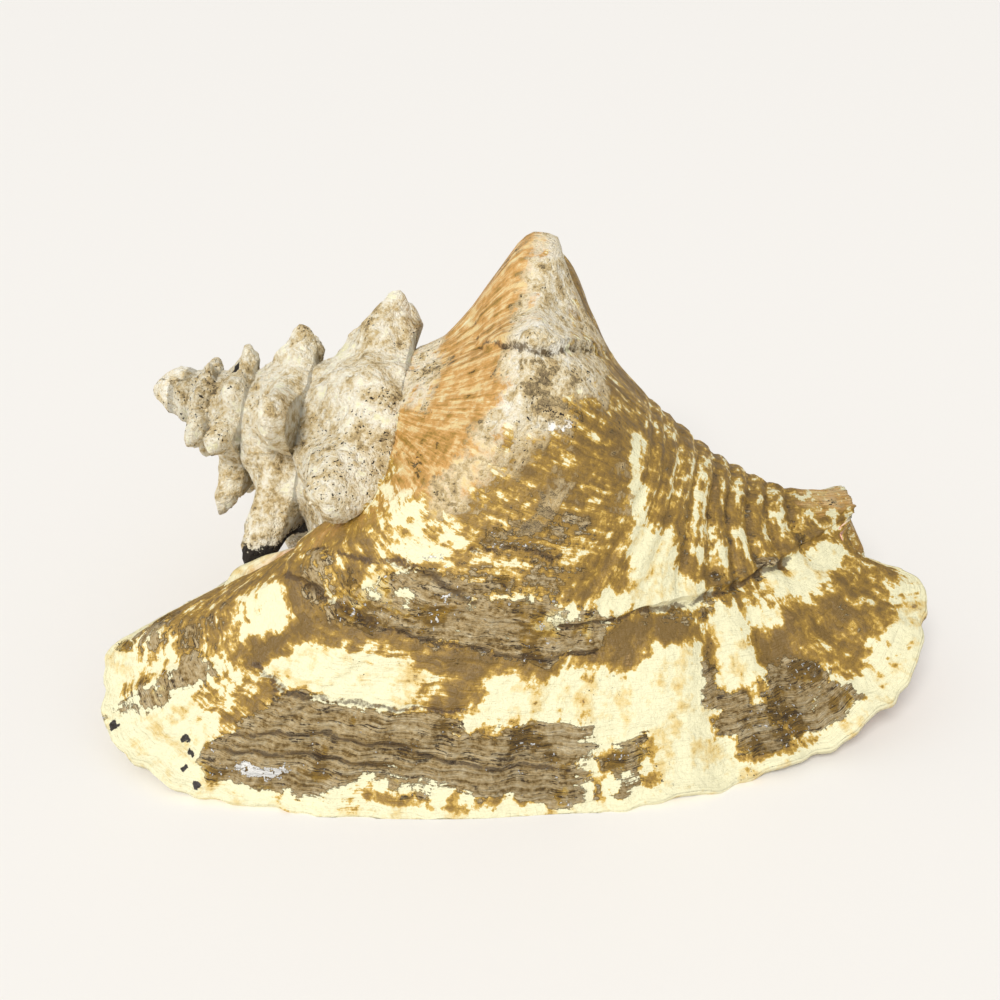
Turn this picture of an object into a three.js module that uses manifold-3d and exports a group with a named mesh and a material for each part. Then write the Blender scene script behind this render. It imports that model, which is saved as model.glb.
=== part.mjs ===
import * as THREE from 'three';
import Module from 'manifold-3d';

// Queen conch shell, mouth down on the ground: spire to -X, canal to +X, flared lip to -Y.
// Sizes are in millimetres.

// The coiling axis runs from the tip of the spire down to the canal.
const APEX = new THREE.Vector3(-111.8, 32, 74.1);
const AXIS_YAW = 11;
const AXIS_DROP = 13.5;

// Each whorl is this much larger than the one before. Growth 0 is straight above the axis on the last whorl.
const WHORL_RATIO = 1.57;
const COLUMNS_PER_WHORL = 48;
const FIRST_COLUMN = -240;
const LAST_COLUMN = 4;

// Outline of the last whorl at growth 0 as [distance along the axis, radius], from the suture to the canal.
const OUTLINE = [
  [79, 35], [88, 41.5], [98, 50], [109, 57], [122, 55.8], [138, 51],
  [155, 43], [171, 34.5], [188, 25], [203, 17.5], [214, 14], [222, 13],
];
const SPIRE_ROWS = [79, 86, 93, 99.5, 105, 111, 117.5, 124.03];
const BODY_ROWS = [131, 139, 147, 155, 163, 171, 179.5, 188, 196, 204, 213, 222];

// From here on the outline stops growing with the whorl, so that the canal keeps one end.
const CANAL_BLEND = [118, 190];
const COLUMN_SLIMMING = 0.4;

// The canal bends up and back from these distances along the axis.
const BEND_BACK = { start: 140, length: 95, size: 27, power: 1.7 };
const BEND_UP = { start: 172, length: 50, size: 13, power: 1.6 };

// The end of the canal is slanted: its underside runs this much further out. The turn is in degrees.
const CANAL_SLANT = { from: 190, to: 222, size: 15, turn: 18 };

// Knobs on the shoulder as [growth, height, distance along the axis, half width], sizes as at growth 0.
// A height below 0 is a hollow.
const KNOBS = [
  [0.06, 9.5, 116, 0.03], [-0.035, 25, 107, 0.03], [-0.12, 31, 118, 0.027], [-0.245, 17, 108, 0.03],
  [-0.345, 15, 108, 0.028], [-0.41, 20, 117, 0.026], [-0.54, 6, 108, 0.03], [-0.65, 6, 108, 0.03],
  [-0.79, 26, 101, 0.021], [-0.92, 5, 106, 0.03], [-1.05, 23, 108, 0.028], [-1.135, 31, 113, 0.025],
  [-1.26, 24, 108, 0.027], [-1.39, 26, 108, 0.027], [-1.52, 30, 108, 0.025], [-1.655, 47, 108, 0.019],
  [-1.845, 44, 114, 0.03], [-1.755, -22, 114, 0.024], [-2.04, 25, 108, 0.029], [-2.145, 30, 112, 0.026],
  [-2.27, 25, 108, 0.027], [-2.4, 28, 108, 0.027], [-2.5, 30, 108, 0.025], [-2.6, 54, 106, 0.022],
  [-2.76, 40, 106, 0.026], [-2.9, 12, 107, 0.03], [-3.045, 25, 108, 0.028], [-3.18, 24, 108, 0.027],
  [-3.31, 25, 108, 0.027], [-3.44, 25, 108, 0.027], [-3.57, 28, 107, 0.027], [-3.7, 38, 106, 0.027],
  [-3.84, 18, 107, 0.03], [-3.975, 24, 108, 0.028], [-4.1, 20, 108, 0.028], [-4.23, 18, 108, 0.028],
];
const KNOB_REACH = { spire: 8.2, canal: 15 };

// Margin of the lip as [share of the way from suture to canal, point], and the way the lip points there.
const LIP_MARGIN = [
  [0, [-46, -17, 47]], [0.09, [-78, -17, 33.5]], [0.16, [-99, -26, 28]], [0.22, [-113, -41, 23]],
  [0.29, [-109, -60, 9.5]], [0.36, [-88, -75, 4]], [0.44, [-53, -82, 2]], [0.54, [-5, -85, 0.5]],
  [0.63, [37, -79.5, 0.8]], [0.7, [70, -70.5, 3]], [0.77, [98, -60, 8.5]], [0.83, [115.5, -49, 19]],
  [0.88, [125.5, -31, 28]], [0.92, [127, -17, 33]], [0.96, [118, -9, 33]], [1, [107, -4, 34]],
];
const LIP_DIRECTION = [
  [0, [-0.5, -0.3, -0.5]], [0.12, [-0.8, -0.3, -0.3]], [0.22, [-0.85, -0.5, -0.15]],
  [0.32, [-0.7, -0.6, -0.35]], [0.44, [-0.25, -0.8, -0.5]], [0.54, [0, -0.82, -0.55]],
  [0.65, [0.15, -0.82, -0.5]], [0.77, [0.55, -0.75, -0.3]], [0.88, [0.8, -0.55, 0.05]],
  [0.94, [0.8, -0.3, 0.15]], [1, [0.5, 0, 0]],
];
const LIP_START_PULL = 0.95;
const LIP_END_PULL = 0.75;
const LIP_SHARES = [[0, 0.6, 17], [0.6, 0.9, 20], [0.9, 1, 5]];
const LIP_THICKNESS_FALL = 0.7;

// A halt in growth left a step across the lip: [share, way out], its drop and half its width.
const STEP_LINE = [
  [0, [0.7]], [0.2, [0.6]], [0.33, [0.46]], [0.53, [0.46]], [0.64, [0.4]], [0.84, [0.29]], [1, [0.2]],
];
const STEP = { drop: 1.7, half: 0.014, before: 5, after: 9, ends: 0.1, underFrom: 0.8 };

// Folds that run out to the margin as [share, height, width to the suture side, width to the canal side].
const FOLDS = [
  [0.345, 1.6, 0.05, 0.03], [0.662, 3.4, 0.034, 0.011], [0.722, 2.6, 0.018, 0.013],
  [0.79, 2.8, 0.022, 0.014], [0.862, 2, 0.022, 0.014],
];
const FOLD_START = 0.3;
const FOLD_FULL = 0.62;

// Thickness of the lip at its root and its edge, and how it starts just below the skin of the coil.
const LIP_ROOT = { thickness: 9, edge: 3.2, overlap: 0.035, sink: 1.2, lift: 0.3 };

// The walls get thinner towards the canal, by this much of their thickness.
const CANAL_THINNING = 0.55;
const LIP_THINS_FROM = 0.7;

// The mouth is hollow from the lip back through this part of a whorl.
const MOUTH = {
  ahead: 0.025, depth: 0.56, sections: 12, points: 12, wall: 10.5, columnWall: 1.5, columnShare: 0.5,
  from: 94, to: 208, deepTo: 165, thinsFrom: 150, thinsTo: 210, least: 1,
};
const TIP = { start: 0.8, blunt: 5.5, reach: 14 };

// Half the width and the depth of the block of ground that the resting faces are cut by.
const GROUND = { half: 200, depth: 60 };

// Points nearer than this become one.
const WELD = 0.03;
const HALVINGS = 24;

const axisX = new THREE.Vector3();
const axisUp = new THREE.Vector3();
const axisFront = new THREE.Vector3();

function setAxes() {
  const yaw = THREE.MathUtils.degToRad(AXIS_YAW);
  const drop = THREE.MathUtils.degToRad(AXIS_DROP);
  axisX.set(Math.cos(yaw) * Math.cos(drop), -Math.sin(yaw) * Math.cos(drop), -Math.sin(drop));
  axisUp.set(Math.cos(yaw) * Math.sin(drop), -Math.sin(yaw) * Math.sin(drop), Math.cos(drop));
  axisFront.set(-Math.sin(yaw), -Math.cos(yaw), 0);
}

// Smooth curve through values at the given places.
function curveAt(table, place) {
  const last = table.length - 1;
  const t = Math.min(Math.max(place, table[0][0]), table[last][0]);
  let i = 0;
  while (i < last - 1 && t > table[i + 1][0]) i += 1;
  const slope = (k, c) => {
    const a = Math.max(k - 1, 0);
    const b = Math.min(k + 1, last);
    return (table[b][1][c] - table[a][1][c]) / (table[b][0] - table[a][0]);
  };
  const step = table[i + 1][0] - table[i][0];
  const s = (t - table[i][0]) / step;
  const s2 = s * s;
  const s3 = s2 * s;
  return table[i][1].map((start, c) => {
    const end = table[i + 1][1][c];
    const enter = slope(i, c) * step;
    const leave = slope(i + 1, c) * step;
    const between = (2 * s3 - 3 * s2 + 1) * start + (3 * s2 - 2 * s3) * end;
    return between + (s3 - 2 * s2 + s) * enter + (s3 - s2) * leave;
  });
}

const outlineTable = OUTLINE.map(([place, radius]) => [place, [radius]]);

// Radius and distance along the axis of the shell's outside at a growth and an outline place.
function whorl(growth, place) {
  const scale = WHORL_RATIO ** growth;
  const fixed = growth > -1 ? THREE.MathUtils.smoothstep(place, CANAL_BLEND[0], CANAL_BLEND[1]) : 0;
  const along = place * THREE.MathUtils.lerp(scale, 1, fixed);
  let radius = curveAt(outlineTable, place)[0] * scale ** (1 + COLUMN_SLIMMING * fixed);
  radius += TIP.blunt * Math.exp(-along / TIP.reach);
  for (const [at, height, crest, width] of KNOBS) {
    const across = (growth - at) / width;
    if (Math.abs(across) > 3.5) continue;
    const reach = place < crest ? KNOB_REACH.spire : KNOB_REACH.canal;
    radius += scale * height * Math.exp(-0.5 * (across ** 2 + ((place - crest) / reach) ** 2));
  }
  return { along, radius };
}

function toSpace(growth, along, radius) {
  const angle = 2 * Math.PI * growth;
  const bend = ({ start, length, size, power }) => size * Math.max((along - start) / length, 0) ** power;
  const up = growth > -1.2 ? bend(BEND_UP) : 0;
  const back = growth > -1.2 ? bend(BEND_BACK) : 0;
  const under = (1 - Math.cos(angle + THREE.MathUtils.degToRad(CANAL_SLANT.turn))) / 2;
  const reached = growth > -1.2 ? THREE.MathUtils.smoothstep(along, CANAL_SLANT.from, CANAL_SLANT.to) : 0;
  return APEX.clone()
    .addScaledVector(axisX, along + CANAL_SLANT.size * under * reached)
    .addScaledVector(axisUp, radius * Math.cos(angle) + up)
    .addScaledVector(axisFront, radius * Math.sin(angle) - back);
}

function outside(growth, place) {
  const { along, radius } = whorl(growth, place);
  return toSpace(growth, along, radius);
}

// A triangle mesh being gathered, which keeps points and faces.
class Shape {
  constructor() {
    this.points = [];
    this.faces = [];
  }

  point(p) {
    this.points.push(p);
    return this.points.length - 1;
  }

  face(a, b, c) {
    if (a !== b && b !== c && c !== a) this.faces.push([a, b, c]);
  }

  // Joins two rows of points, the second to the left of the first when looking along them from outside.
  strip(first, second) {
    let i = 0;
    let k = 0;
    while (i < first.length - 1 || k < second.length - 1) {
      const nextFirst = i < first.length - 1 ? (i + 1) / (first.length - 1) : 2;
      const nextSecond = k < second.length - 1 ? (k + 1) / (second.length - 1) : 2;
      if (nextFirst <= nextSecond) {
        this.face(first[i], first[i + 1], second[k]);
        i += 1;
      } else {
        this.face(first[i], second[k + 1], second[k]);
        k += 1;
      }
    }
  }

  fan(centre, ring) {
    for (let i = 0; i < ring.length - 1; i += 1) this.face(centre, ring[i], ring[i + 1]);
  }

  solid(wasm) {
    const vertProperties = new Float32Array(this.points.flatMap((p) => [p.x, p.y, p.z]));
    const triVerts = new Uint32Array(this.faces.flat());
    return new wasm.Manifold(new wasm.Mesh({ numProp: 3, vertProperties, triVerts }));
  }
}

// The coiled part: each whorl's first row is the row of the whorl before that it grew over.
function coilShape() {
  const shape = new Shape();
  const spireRow = SPIRE_ROWS.length - 1;
  const lastWhorl = LAST_COLUMN - COLUMNS_PER_WHORL;
  const columns = new Map();
  for (let i = FIRST_COLUMN; i <= LAST_COLUMN; i += 1) {
    const growth = i / COLUMNS_PER_WHORL;
    const before = columns.get(i - COLUMNS_PER_WHORL);
    const places = i < lastWhorl ? SPIRE_ROWS : [...SPIRE_ROWS, ...BODY_ROWS];
    const column = places.map((place, j) => {
      if (j === 0 && before) return before[spireRow];
      return shape.point(outside(growth, place));
    });
    columns.set(i, column);
    if (i > FIRST_COLUMN) {
      const earlier = columns.get(i - 1);
      shape.strip(column.slice(0, earlier.length), earlier);
    }
  }
  // Tip of the spire.
  const tip = shape.point(APEX.clone().addScaledVector(axisX, TIP.start));
  const rim = [];
  for (let i = 0; i <= COLUMNS_PER_WHORL; i += 1) rim.push(columns.get(FIRST_COLUMN + i)[0]);
  shape.fan(tip, rim.reverse());
  shape.fan(tip, columns.get(FIRST_COLUMN));
  // Growing end of the coil, and the end of the canal.
  const start = columns.get(lastWhorl).slice(spireRow);
  const end = columns.get(LAST_COLUMN);
  shape.strip(start, end);
  const ring = [];
  for (let i = lastWhorl; i <= LAST_COLUMN; i += 1) ring.push(columns.get(i).at(-1));
  ring.push(ring[0]);
  const middle = new THREE.Vector3();
  ring.slice(1).forEach((k) => middle.add(shape.points[k]));
  shape.fan(shape.point(middle.divideScalar(ring.length - 1)), ring);
  return shape;
}

setAxes();
const LIP_GROWTH = LAST_COLUMN / COLUMNS_PER_WHORL;
const outlineSteps = OUTLINE.slice(1).map(([place, radius], i) => {
  const [placeBefore, radiusBefore] = OUTLINE[i];
  return Math.hypot(place - placeBefore, radius - radiusBefore);
});
const outlineLength = outlineSteps.reduce((sum, step) => sum + step, 0);

// Outline place at a share of the outline's own length.
function placeAt(share) {
  let left = share * outlineLength;
  let i = 0;
  while (i < outlineSteps.length - 1 && left > outlineSteps[i]) {
    left -= outlineSteps[i];
    i += 1;
  }
  return THREE.MathUtils.lerp(OUTLINE[i][0], OUTLINE[i + 1][0], Math.min(left / outlineSteps[i], 1));
}

// Outside of the flared lip: way goes from 0 at the coil to 1 at the margin.
function lipOutside(way, share) {
  const place = placeAt(share);
  const start = outside(LIP_GROWTH, place);
  const enter = start.clone().sub(outside(LIP_GROWTH - 0.001, place)).normalize();
  const end = new THREE.Vector3(...curveAt(LIP_MARGIN, share));
  const leave = new THREE.Vector3(...curveAt(LIP_DIRECTION, share)).normalize();
  const span = start.distanceTo(end);
  const w2 = way * way;
  const w3 = w2 * way;
  return start.multiplyScalar(2 * w3 - 3 * w2 + 1)
    .addScaledVector(enter, (w3 - 2 * w2 + way) * span * LIP_START_PULL)
    .addScaledVector(end, 3 * w2 - 2 * w3)
    .addScaledVector(leave, (w3 - w2) * span * LIP_END_PULL);
}

function lipNormal(way, share) {
  const step = 0.01;
  const { clamp } = THREE.MathUtils;
  const at = (moreWay, moreShare) => lipOutside(clamp(way + moreWay, 0, 1), clamp(share + moreShare, 0, 1));
  const alongWay = at(step, 0).sub(at(-step, 0));
  const alongShare = at(0, step).sub(at(0, -step));
  return alongWay.cross(alongShare).normalize();
}

function lipWays(share) {
  const step = curveAt(STEP_LINE, share)[0];
  const ways = [];
  const { lerp } = THREE.MathUtils;
  for (let i = 0; i <= STEP.before; i += 1) ways.push(lerp(0, step - STEP.half, i / STEP.before));
  for (let i = 0; i <= STEP.after; i += 1) ways.push(lerp(step + STEP.half, 1, i / STEP.after));
  return ways;
}

// Height of the step and the folds over the smooth lip. Underneath, the step is spread out to the margin.
function lipRelief(way, share, underneath) {
  const { smoothstep } = THREE.MathUtils;
  const above = way > curveAt(STEP_LINE, share)[0] ? 1 : 0;
  const past = underneath ? smoothstep(way, STEP.underFrom, 1) : above;
  const ends = smoothstep(share, 0, STEP.ends) * (1 - smoothstep(share, 1 - STEP.ends, 1));
  const ramp = smoothstep(way, FOLD_START, FOLD_FULL);
  let height = -STEP.drop * past * ends;
  for (const [at, size, left, right] of FOLDS) {
    height += size * ramp * Math.exp(-0.5 * ((share - at) / (share < at ? left : right)) ** 2);
  }
  return height;
}

function lipShape() {
  const shape = new Shape();
  const shares = [];
  for (const [from, to, count] of LIP_SHARES) {
    for (let k = 0; k < count; k += 1) shares.push(from + ((to - from) * k) / count);
  }
  shares.push(1);
  const columns = STEP.before + STEP.after + 2;
  const top = [];
  const under = [];
  for (let i = -1; i < columns; i += 1) {
    top.push([]);
    under.push([]);
    for (const share of shares) {
      const way = lipWays(share)[Math.max(i, 0)];
      const normal = lipNormal(Math.max(way, 0.01), share);
      const thinned = CANAL_THINNING * THREE.MathUtils.smoothstep(share, LIP_THINS_FROM, 1);
      const root = LIP_ROOT.thickness * (1 - thinned);
      const thickness = THREE.MathUtils.lerp(root, LIP_ROOT.edge, way ** LIP_THICKNESS_FALL);
      const skin = i < 0 ? outside(LIP_GROWTH - LIP_ROOT.overlap, placeAt(share)) : lipOutside(way, share);
      const rise = i < 0 ? -LIP_ROOT.sink : LIP_ROOT.lift * (1 - way);
      const over = i < 0 ? rise : rise + lipRelief(way, share, false);
      const below = i < 0 ? rise : rise + lipRelief(way, share, true);
      top.at(-1).push(shape.point(skin.clone().addScaledVector(normal, over)));
      under.at(-1).push(shape.point(skin.clone().addScaledVector(normal, below - thickness)));
    }
  }
  for (let i = 0; i < columns; i += 1) {
    shape.strip(top[i + 1], top[i]);
    shape.strip(under[i], under[i + 1]);
  }
  shape.strip(under[columns], top[columns]);
  shape.strip(top[0], under[0]);
  shape.strip(under.map((row) => row[0]), top.map((row) => row[0]));
  shape.strip(top.map((row) => row.at(-1)), under.map((row) => row.at(-1)));
  return shape;
}

// Outside radius of a whorl at a distance along the axis.
function radiusAt(growth, along) {
  let low = OUTLINE[0][0];
  let high = OUTLINE.at(-1)[0];
  for (let k = 0; k < HALVINGS; k += 1) {
    const middle = (low + high) / 2;
    if (whorl(growth, middle).along < along) low = middle;
    else high = middle;
  }
  return curveAt(outlineTable, low)[0] * WHORL_RATIO ** growth;
}

function mouthShape() {
  const shape = new Shape();
  const rings = [];
  for (let s = 0; s <= MOUTH.sections; s += 1) {
    const growth = LIP_GROWTH + MOUTH.ahead - (MOUTH.depth * s) / MOUTH.sections;
    const scale = WHORL_RATIO ** growth;
    const from = MOUTH.from * scale;
    const to = THREE.MathUtils.lerp(MOUTH.to, MOUTH.deepTo, s / MOUTH.sections);
    const outer = [];
    const inner = [];
    for (let k = 0; k <= MOUTH.points; k += 1) {
      const along = THREE.MathUtils.lerp(from, to, k / MOUTH.points);
      const near = radiusAt(growth - 1, along) * MOUTH.columnShare + MOUTH.columnWall;
      const thinned = CANAL_THINNING * THREE.MathUtils.smoothstep(along, MOUTH.thinsFrom, MOUTH.thinsTo);
      const wall = MOUTH.wall * (1 - thinned) * scale;
      const far = Math.max(radiusAt(growth, along) - wall, near + MOUTH.least);
      outer.push(shape.point(toSpace(growth, along, far)));
      if (k > 0 && k < MOUTH.points) inner.push(shape.point(toSpace(growth, along, near)));
    }
    rings.push([...outer, ...inner.reverse(), outer[0]]);
  }
  for (let s = 0; s < MOUTH.sections; s += 1) shape.strip(rings[s], rings[s + 1]);
  for (const [ring, flip] of [[rings[0], true], [rings.at(-1), false]]) {
    const middle = new THREE.Vector3();
    ring.slice(1).forEach((k) => middle.add(shape.points[k]));
    const centre = shape.point(middle.divideScalar(ring.length - 1));
    shape.fan(centre, flip ? ring.slice().reverse() : ring);
  }
  return shape;
}

// Block under the plane that the shell lies on.
function groundShape() {
  const shape = new Shape();
  const { half, depth } = GROUND;
  const corners = [[-half, -half], [half, -half], [half, half], [-half, half]];
  for (const z of [-depth, 0]) corners.forEach(([x, y]) => shape.point(new THREE.Vector3(x, y, z)));
  for (let i = 0; i < corners.length; i += 1) {
    const next = (i + 1) % corners.length;
    shape.face(i, next, next + corners.length);
    shape.face(i, next + corners.length, i + corners.length);
  }
  for (const [a, b, c] of [[0, 3, 2], [0, 2, 1], [4, 5, 6], [4, 6, 7]]) shape.face(a, b, c);
  return shape;
}

// Puts close points together, drops the faces this closes up, and centres the shell over the origin.
function weldedGeometry(mesh) {
  const points = [];
  const cells = new Map();
  const near = [-1, 0, 1];
  const joined = [];
  for (let i = 0; i < mesh.vertProperties.length; i += 3) {
    const p = new THREE.Vector3().fromArray(mesh.vertProperties, i);
    const cell = p.toArray().map((value) => Math.floor(value / WELD));
    let found = -1;
    for (const dx of near) {
      for (const dy of near) {
        for (const dz of near) {
          const others = cells.get(`${cell[0] + dx},${cell[1] + dy},${cell[2] + dz}`) ?? [];
          if (found < 0) found = others.find((k) => points[k].distanceTo(p) < WELD) ?? -1;
        }
      }
    }
    if (found < 0) {
      found = points.length;
      points.push(p);
      const key = cell.join();
      cells.set(key, [...(cells.get(key) ?? []), found]);
    }
    joined.push(found);
  }
  const faces = new Map();
  for (let i = 0; i < mesh.triVerts.length; i += 3) {
    const face = [0, 1, 2].map((k) => joined[mesh.triVerts[i + k]]);
    if (new Set(face).size < 3) continue;
    const turn = face.indexOf(Math.min(...face));
    const turned = [0, 1, 2].map((k) => face[(turn + k) % 3]);
    const opposite = [turned[0], turned[2], turned[1]].join();
    if (faces.has(opposite)) faces.delete(opposite);
    else faces.set(turned.join(), turned);
  }
  const box = new THREE.Box3().setFromPoints(points);
  const centre = box.getCenter(new THREE.Vector3());
  const flat = points.flatMap((p) => [p.x - centre.x, p.y - centre.y, p.z - box.min.z]);
  const geometry = new THREE.BufferGeometry();
  geometry.setAttribute('position', new THREE.BufferAttribute(new Float32Array(flat), 3));
  geometry.setIndex([...faces.values()].flat());
  geometry.computeVertexNormals();
  return geometry;
}

const wasm = await Module();
wasm.setup();
const shapes = [coilShape(), lipShape(), mouthShape(), groundShape()];
const [coil, lip, mouth, ground] = shapes.map((shape) => shape.solid(wasm));
const geometry = weldedGeometry(coil.add(lip).subtract(mouth).subtract(ground).getMesh());
const material = new THREE.MeshStandardMaterial({ color: 0xd9c08a, roughness: 0.6 });
const shellMesh = new THREE.Mesh(geometry, material);
shellMesh.name = 'conch_shell';
const group = new THREE.Group();
group.add(shellMesh);

export default group;
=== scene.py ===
"""Queen conch shell lying mouth down: spire to -X, canal to +X, flared lip to -Y.

Growth formulas give the surface of the coil, the lip and the mouth. Geometry
Nodes weather it, and one layered material gives bare shell, the ochre skin
that grew over it, the dark flaking skin and the worn chalky parts.
"""

import logging
import math
from dataclasses import dataclass, field
from enum import Enum
from typing import ClassVar, NamedTuple

import bpy
import numpy as np
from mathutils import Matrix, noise

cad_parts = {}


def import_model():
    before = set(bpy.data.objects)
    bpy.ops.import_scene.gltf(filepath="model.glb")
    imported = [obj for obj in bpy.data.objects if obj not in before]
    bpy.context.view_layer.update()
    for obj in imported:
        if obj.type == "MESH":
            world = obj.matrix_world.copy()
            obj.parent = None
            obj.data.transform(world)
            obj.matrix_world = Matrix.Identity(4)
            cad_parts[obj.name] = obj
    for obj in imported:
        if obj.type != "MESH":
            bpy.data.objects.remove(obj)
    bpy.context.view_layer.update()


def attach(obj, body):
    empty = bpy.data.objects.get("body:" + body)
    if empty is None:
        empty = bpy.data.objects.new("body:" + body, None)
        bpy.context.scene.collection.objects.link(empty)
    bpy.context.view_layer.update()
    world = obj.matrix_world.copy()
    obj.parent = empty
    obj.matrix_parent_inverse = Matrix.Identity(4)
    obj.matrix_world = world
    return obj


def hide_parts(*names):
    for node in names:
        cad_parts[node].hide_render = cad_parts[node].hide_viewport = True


Array = np.ndarray
Tree = bpy.types.NodeTree
Socket = bpy.types.NodeSocket

LOG = logging.getLogger("conch")
MM = 0.001

# Middle of the CAD part in the frame of the sizes below, in millimetres.
CENTRE = (7.109, -2.357)

# The coiling axis runs from the tip of the spire down to the canal.
APEX = (-111.8, 32.0, 74.1)
AXIS_YAW = 11.0
AXIS_DROP = 13.5

# Each whorl is this much larger than the one before. Growth 0 is straight above the axis.
WHORL_RATIO = 1.57
WHORLS = 5
LIP_GROWTH = 4 / 48

# Outline of the last whorl at growth 0: distance along the axis, radius, in millimetres.
OUTLINE = (
    (79, 35), (88, 41.5), (98, 50), (109, 57), (122, 55.8), (138, 51),
    (155, 43), (171, 34.5), (188, 25), (203, 17.5), (214, 14), (222, 13),
)
SPIRE_END = 124.03

# From here on the outline stops growing, so that the canal keeps one end.
CANAL_BLEND = (118.0, 190.0)
COLUMN_SLIMMING = 0.4


class Bend(NamedTuple):
    """Bend of the canal away from the coiling axis, in millimetres."""

    start: float
    length: float
    size: float
    power: float


class Slant(NamedTuple):
    """Slant of the canal's end, whose underside runs further out. The turn is in degrees."""

    start: float
    end: float
    size: float
    turn: float


BEND_BACK = Bend(140.0, 95.0, 27.0, 1.7)
BEND_UP = Bend(172.0, 50.0, 13.0, 1.6)
CANAL_SLANT = Slant(190.0, 222.0, 15.0, 18.0)

# The tip of the spire is worn round: where it starts, how much wider it is there, how far that reaches.
TIP_START = 0.8
TIP_BLUNT = 5.5
TIP_REACH = 14.0

# Knobs on the shoulder: growth, height, distance along the axis, half width.
KNOBS = (
    (0.06, 9.5, 116, 0.03), (-0.035, 25, 107, 0.03), (-0.12, 31, 118, 0.027), (-0.245, 17, 108, 0.03),
    (-0.345, 15, 108, 0.028), (-0.41, 20, 117, 0.026), (-0.54, 6, 108, 0.03), (-0.65, 6, 108, 0.03),
    (-0.79, 26, 101, 0.021), (-0.92, 5, 106, 0.03), (-1.05, 23, 108, 0.028), (-1.135, 31, 113, 0.025),
    (-1.26, 24, 108, 0.027), (-1.39, 26, 108, 0.027), (-1.52, 30, 108, 0.025), (-1.655, 47, 108, 0.019),
    (-1.845, 44, 114, 0.03), (-1.755, -22, 114, 0.024), (-2.04, 25, 108, 0.029), (-2.145, 30, 112, 0.026),
    (-2.27, 25, 108, 0.027), (-2.4, 28, 108, 0.027), (-2.5, 30, 108, 0.025), (-2.6, 54, 106, 0.022),
    (-2.76, 40, 106, 0.026), (-2.9, 12, 107, 0.03), (-3.045, 25, 108, 0.028), (-3.18, 24, 108, 0.027),
    (-3.31, 25, 108, 0.027), (-3.44, 25, 108, 0.027), (-3.57, 28, 107, 0.027), (-3.7, 38, 106, 0.027),
    (-3.84, 18, 107, 0.03), (-3.975, 24, 108, 0.028), (-4.1, 20, 108, 0.028), (-4.23, 18, 108, 0.028),
)

# Half length of a knob along the axis, towards the spire and towards the canal.
KNOB_REACH = (8.2, 15.0)

# Margin of the lip by the share of the way from suture to canal, and where the lip points there.
LIP_MARGIN = (
    (0, (-46, -17, 47)), (0.09, (-78, -17, 33.5)), (0.16, (-99, -26, 28)), (0.22, (-113, -41, 23)),
    (0.29, (-109, -60, 9.5)), (0.36, (-88, -75, 4)), (0.44, (-53, -82, 2)), (0.54, (-5, -85, 0.5)),
    (0.63, (37, -79.5, 0.8)), (0.7, (70, -70.5, 3)), (0.77, (98, -60, 8.5)), (0.83, (115.5, -49, 19)),
    (0.88, (125.5, -31, 28)), (0.92, (127, -17, 33)), (0.96, (118, -9, 33)), (1, (107, -4, 34)),
)
LIP_DIRECTION = (
    (0, (-0.5, -0.3, -0.5)), (0.12, (-0.8, -0.3, -0.3)), (0.22, (-0.85, -0.5, -0.15)),
    (0.32, (-0.7, -0.6, -0.35)), (0.44, (-0.25, -0.8, -0.5)), (0.54, (0, -0.82, -0.55)),
    (0.65, (0.15, -0.82, -0.5)), (0.77, (0.55, -0.75, -0.3)), (0.88, (0.8, -0.55, 0.05)),
    (0.94, (0.8, -0.3, 0.15)), (1, (0.5, 0, 0)),
)

# The margin is uneven: waves along it and their height.
EDGE_WAVES = ((13, 0.4), (22, 0.35), (37, 0.3), (53, 0.25))

# How strongly the lip leaves the coil and reaches its margin in the directions it has there.
LIP_START_PULL = 0.95
LIP_END_PULL = 0.75

# Thickness of the lip at the coil and at its margin, how it falls between, and how much less it is
# at the canal.
LIP_ROOT = 9.0
LIP_EDGE = 3.2
LIP_THICKNESS_FALL = 0.7
CANAL_THINNING = 0.55

# The lip's skin starts on the coil, which sinks under it, so that no joint shows.
LIP_OVERLAP = 0.05
SEAM_SINK = 1.6
SEAM_LIFT = 0.3

# A halt in growth left a step across the lip: share, way out.
STEP_LINE = ((0, 0.7), (0.2, 0.6), (0.33, 0.46), (0.53, 0.46), (0.64, 0.4), (0.84, 0.29), (1, 0.2))
STEP_DROP = 1.7
STEP_HALF = 0.012

# Folds that run out to the margin: share, height, width to the suture side and to the canal side.
FOLDS = (
    (0.345, 1.6, 0.05, 0.03), (0.662, 3.4, 0.034, 0.011), (0.722, 2.6, 0.018, 0.013),
    (0.79, 2.8, 0.022, 0.014), (0.862, 2, 0.022, 0.014),
)
FOLD_RAMP = (0.3, 0.62)

# Cords on the canal side of the last whorl: the shares of the grooves between them.
CORD_GROOVES = (0.53, 0.565, 0.6, 0.65, 0.70, 0.745, 0.79, 0.835, 0.88)
CORD_DEPTH = 0.8
CORD_WIDTH = 0.007

# Ways where the cords start and end, and shares from which they are coloured too: painted shade in the
# grooves and more cream on the cords.
CORD_WAYS = ((-1.5, -0.5), (0.3, 0.44))
CORD_COLOURED = (0.58, 0.66)

# Pinched ridge from the tallest knob down the front of the last whorl.
RIDGE_WAYS = ((-1.0, -0.7), (0.0, 0.3))
RIDGE_SHARE = 0.262
RIDGE_HEIGHT = 1.8
RIDGE_WIDTH = 0.01

# An old margin crosses the last whorl below the tallest knob as a crest: share, way.
CREST_LINE = (
    (0, -1.0), (0.1, -0.9), (0.13, -0.5), (0.165, -0.17), (0.22, -0.1), (0.262, -0.06),
    (0.3, -0.1), (0.345, -0.19), (0.4, -0.32), (0.46, -0.5), (0.6, -0.8),
)
CREST_ENDS = ((0.13, 0.2), (0.34, 0.46))
CREST_HEIGHT = 2.4
CREST_RISE = 0.1
CREST_DROP = 0.022

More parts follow.
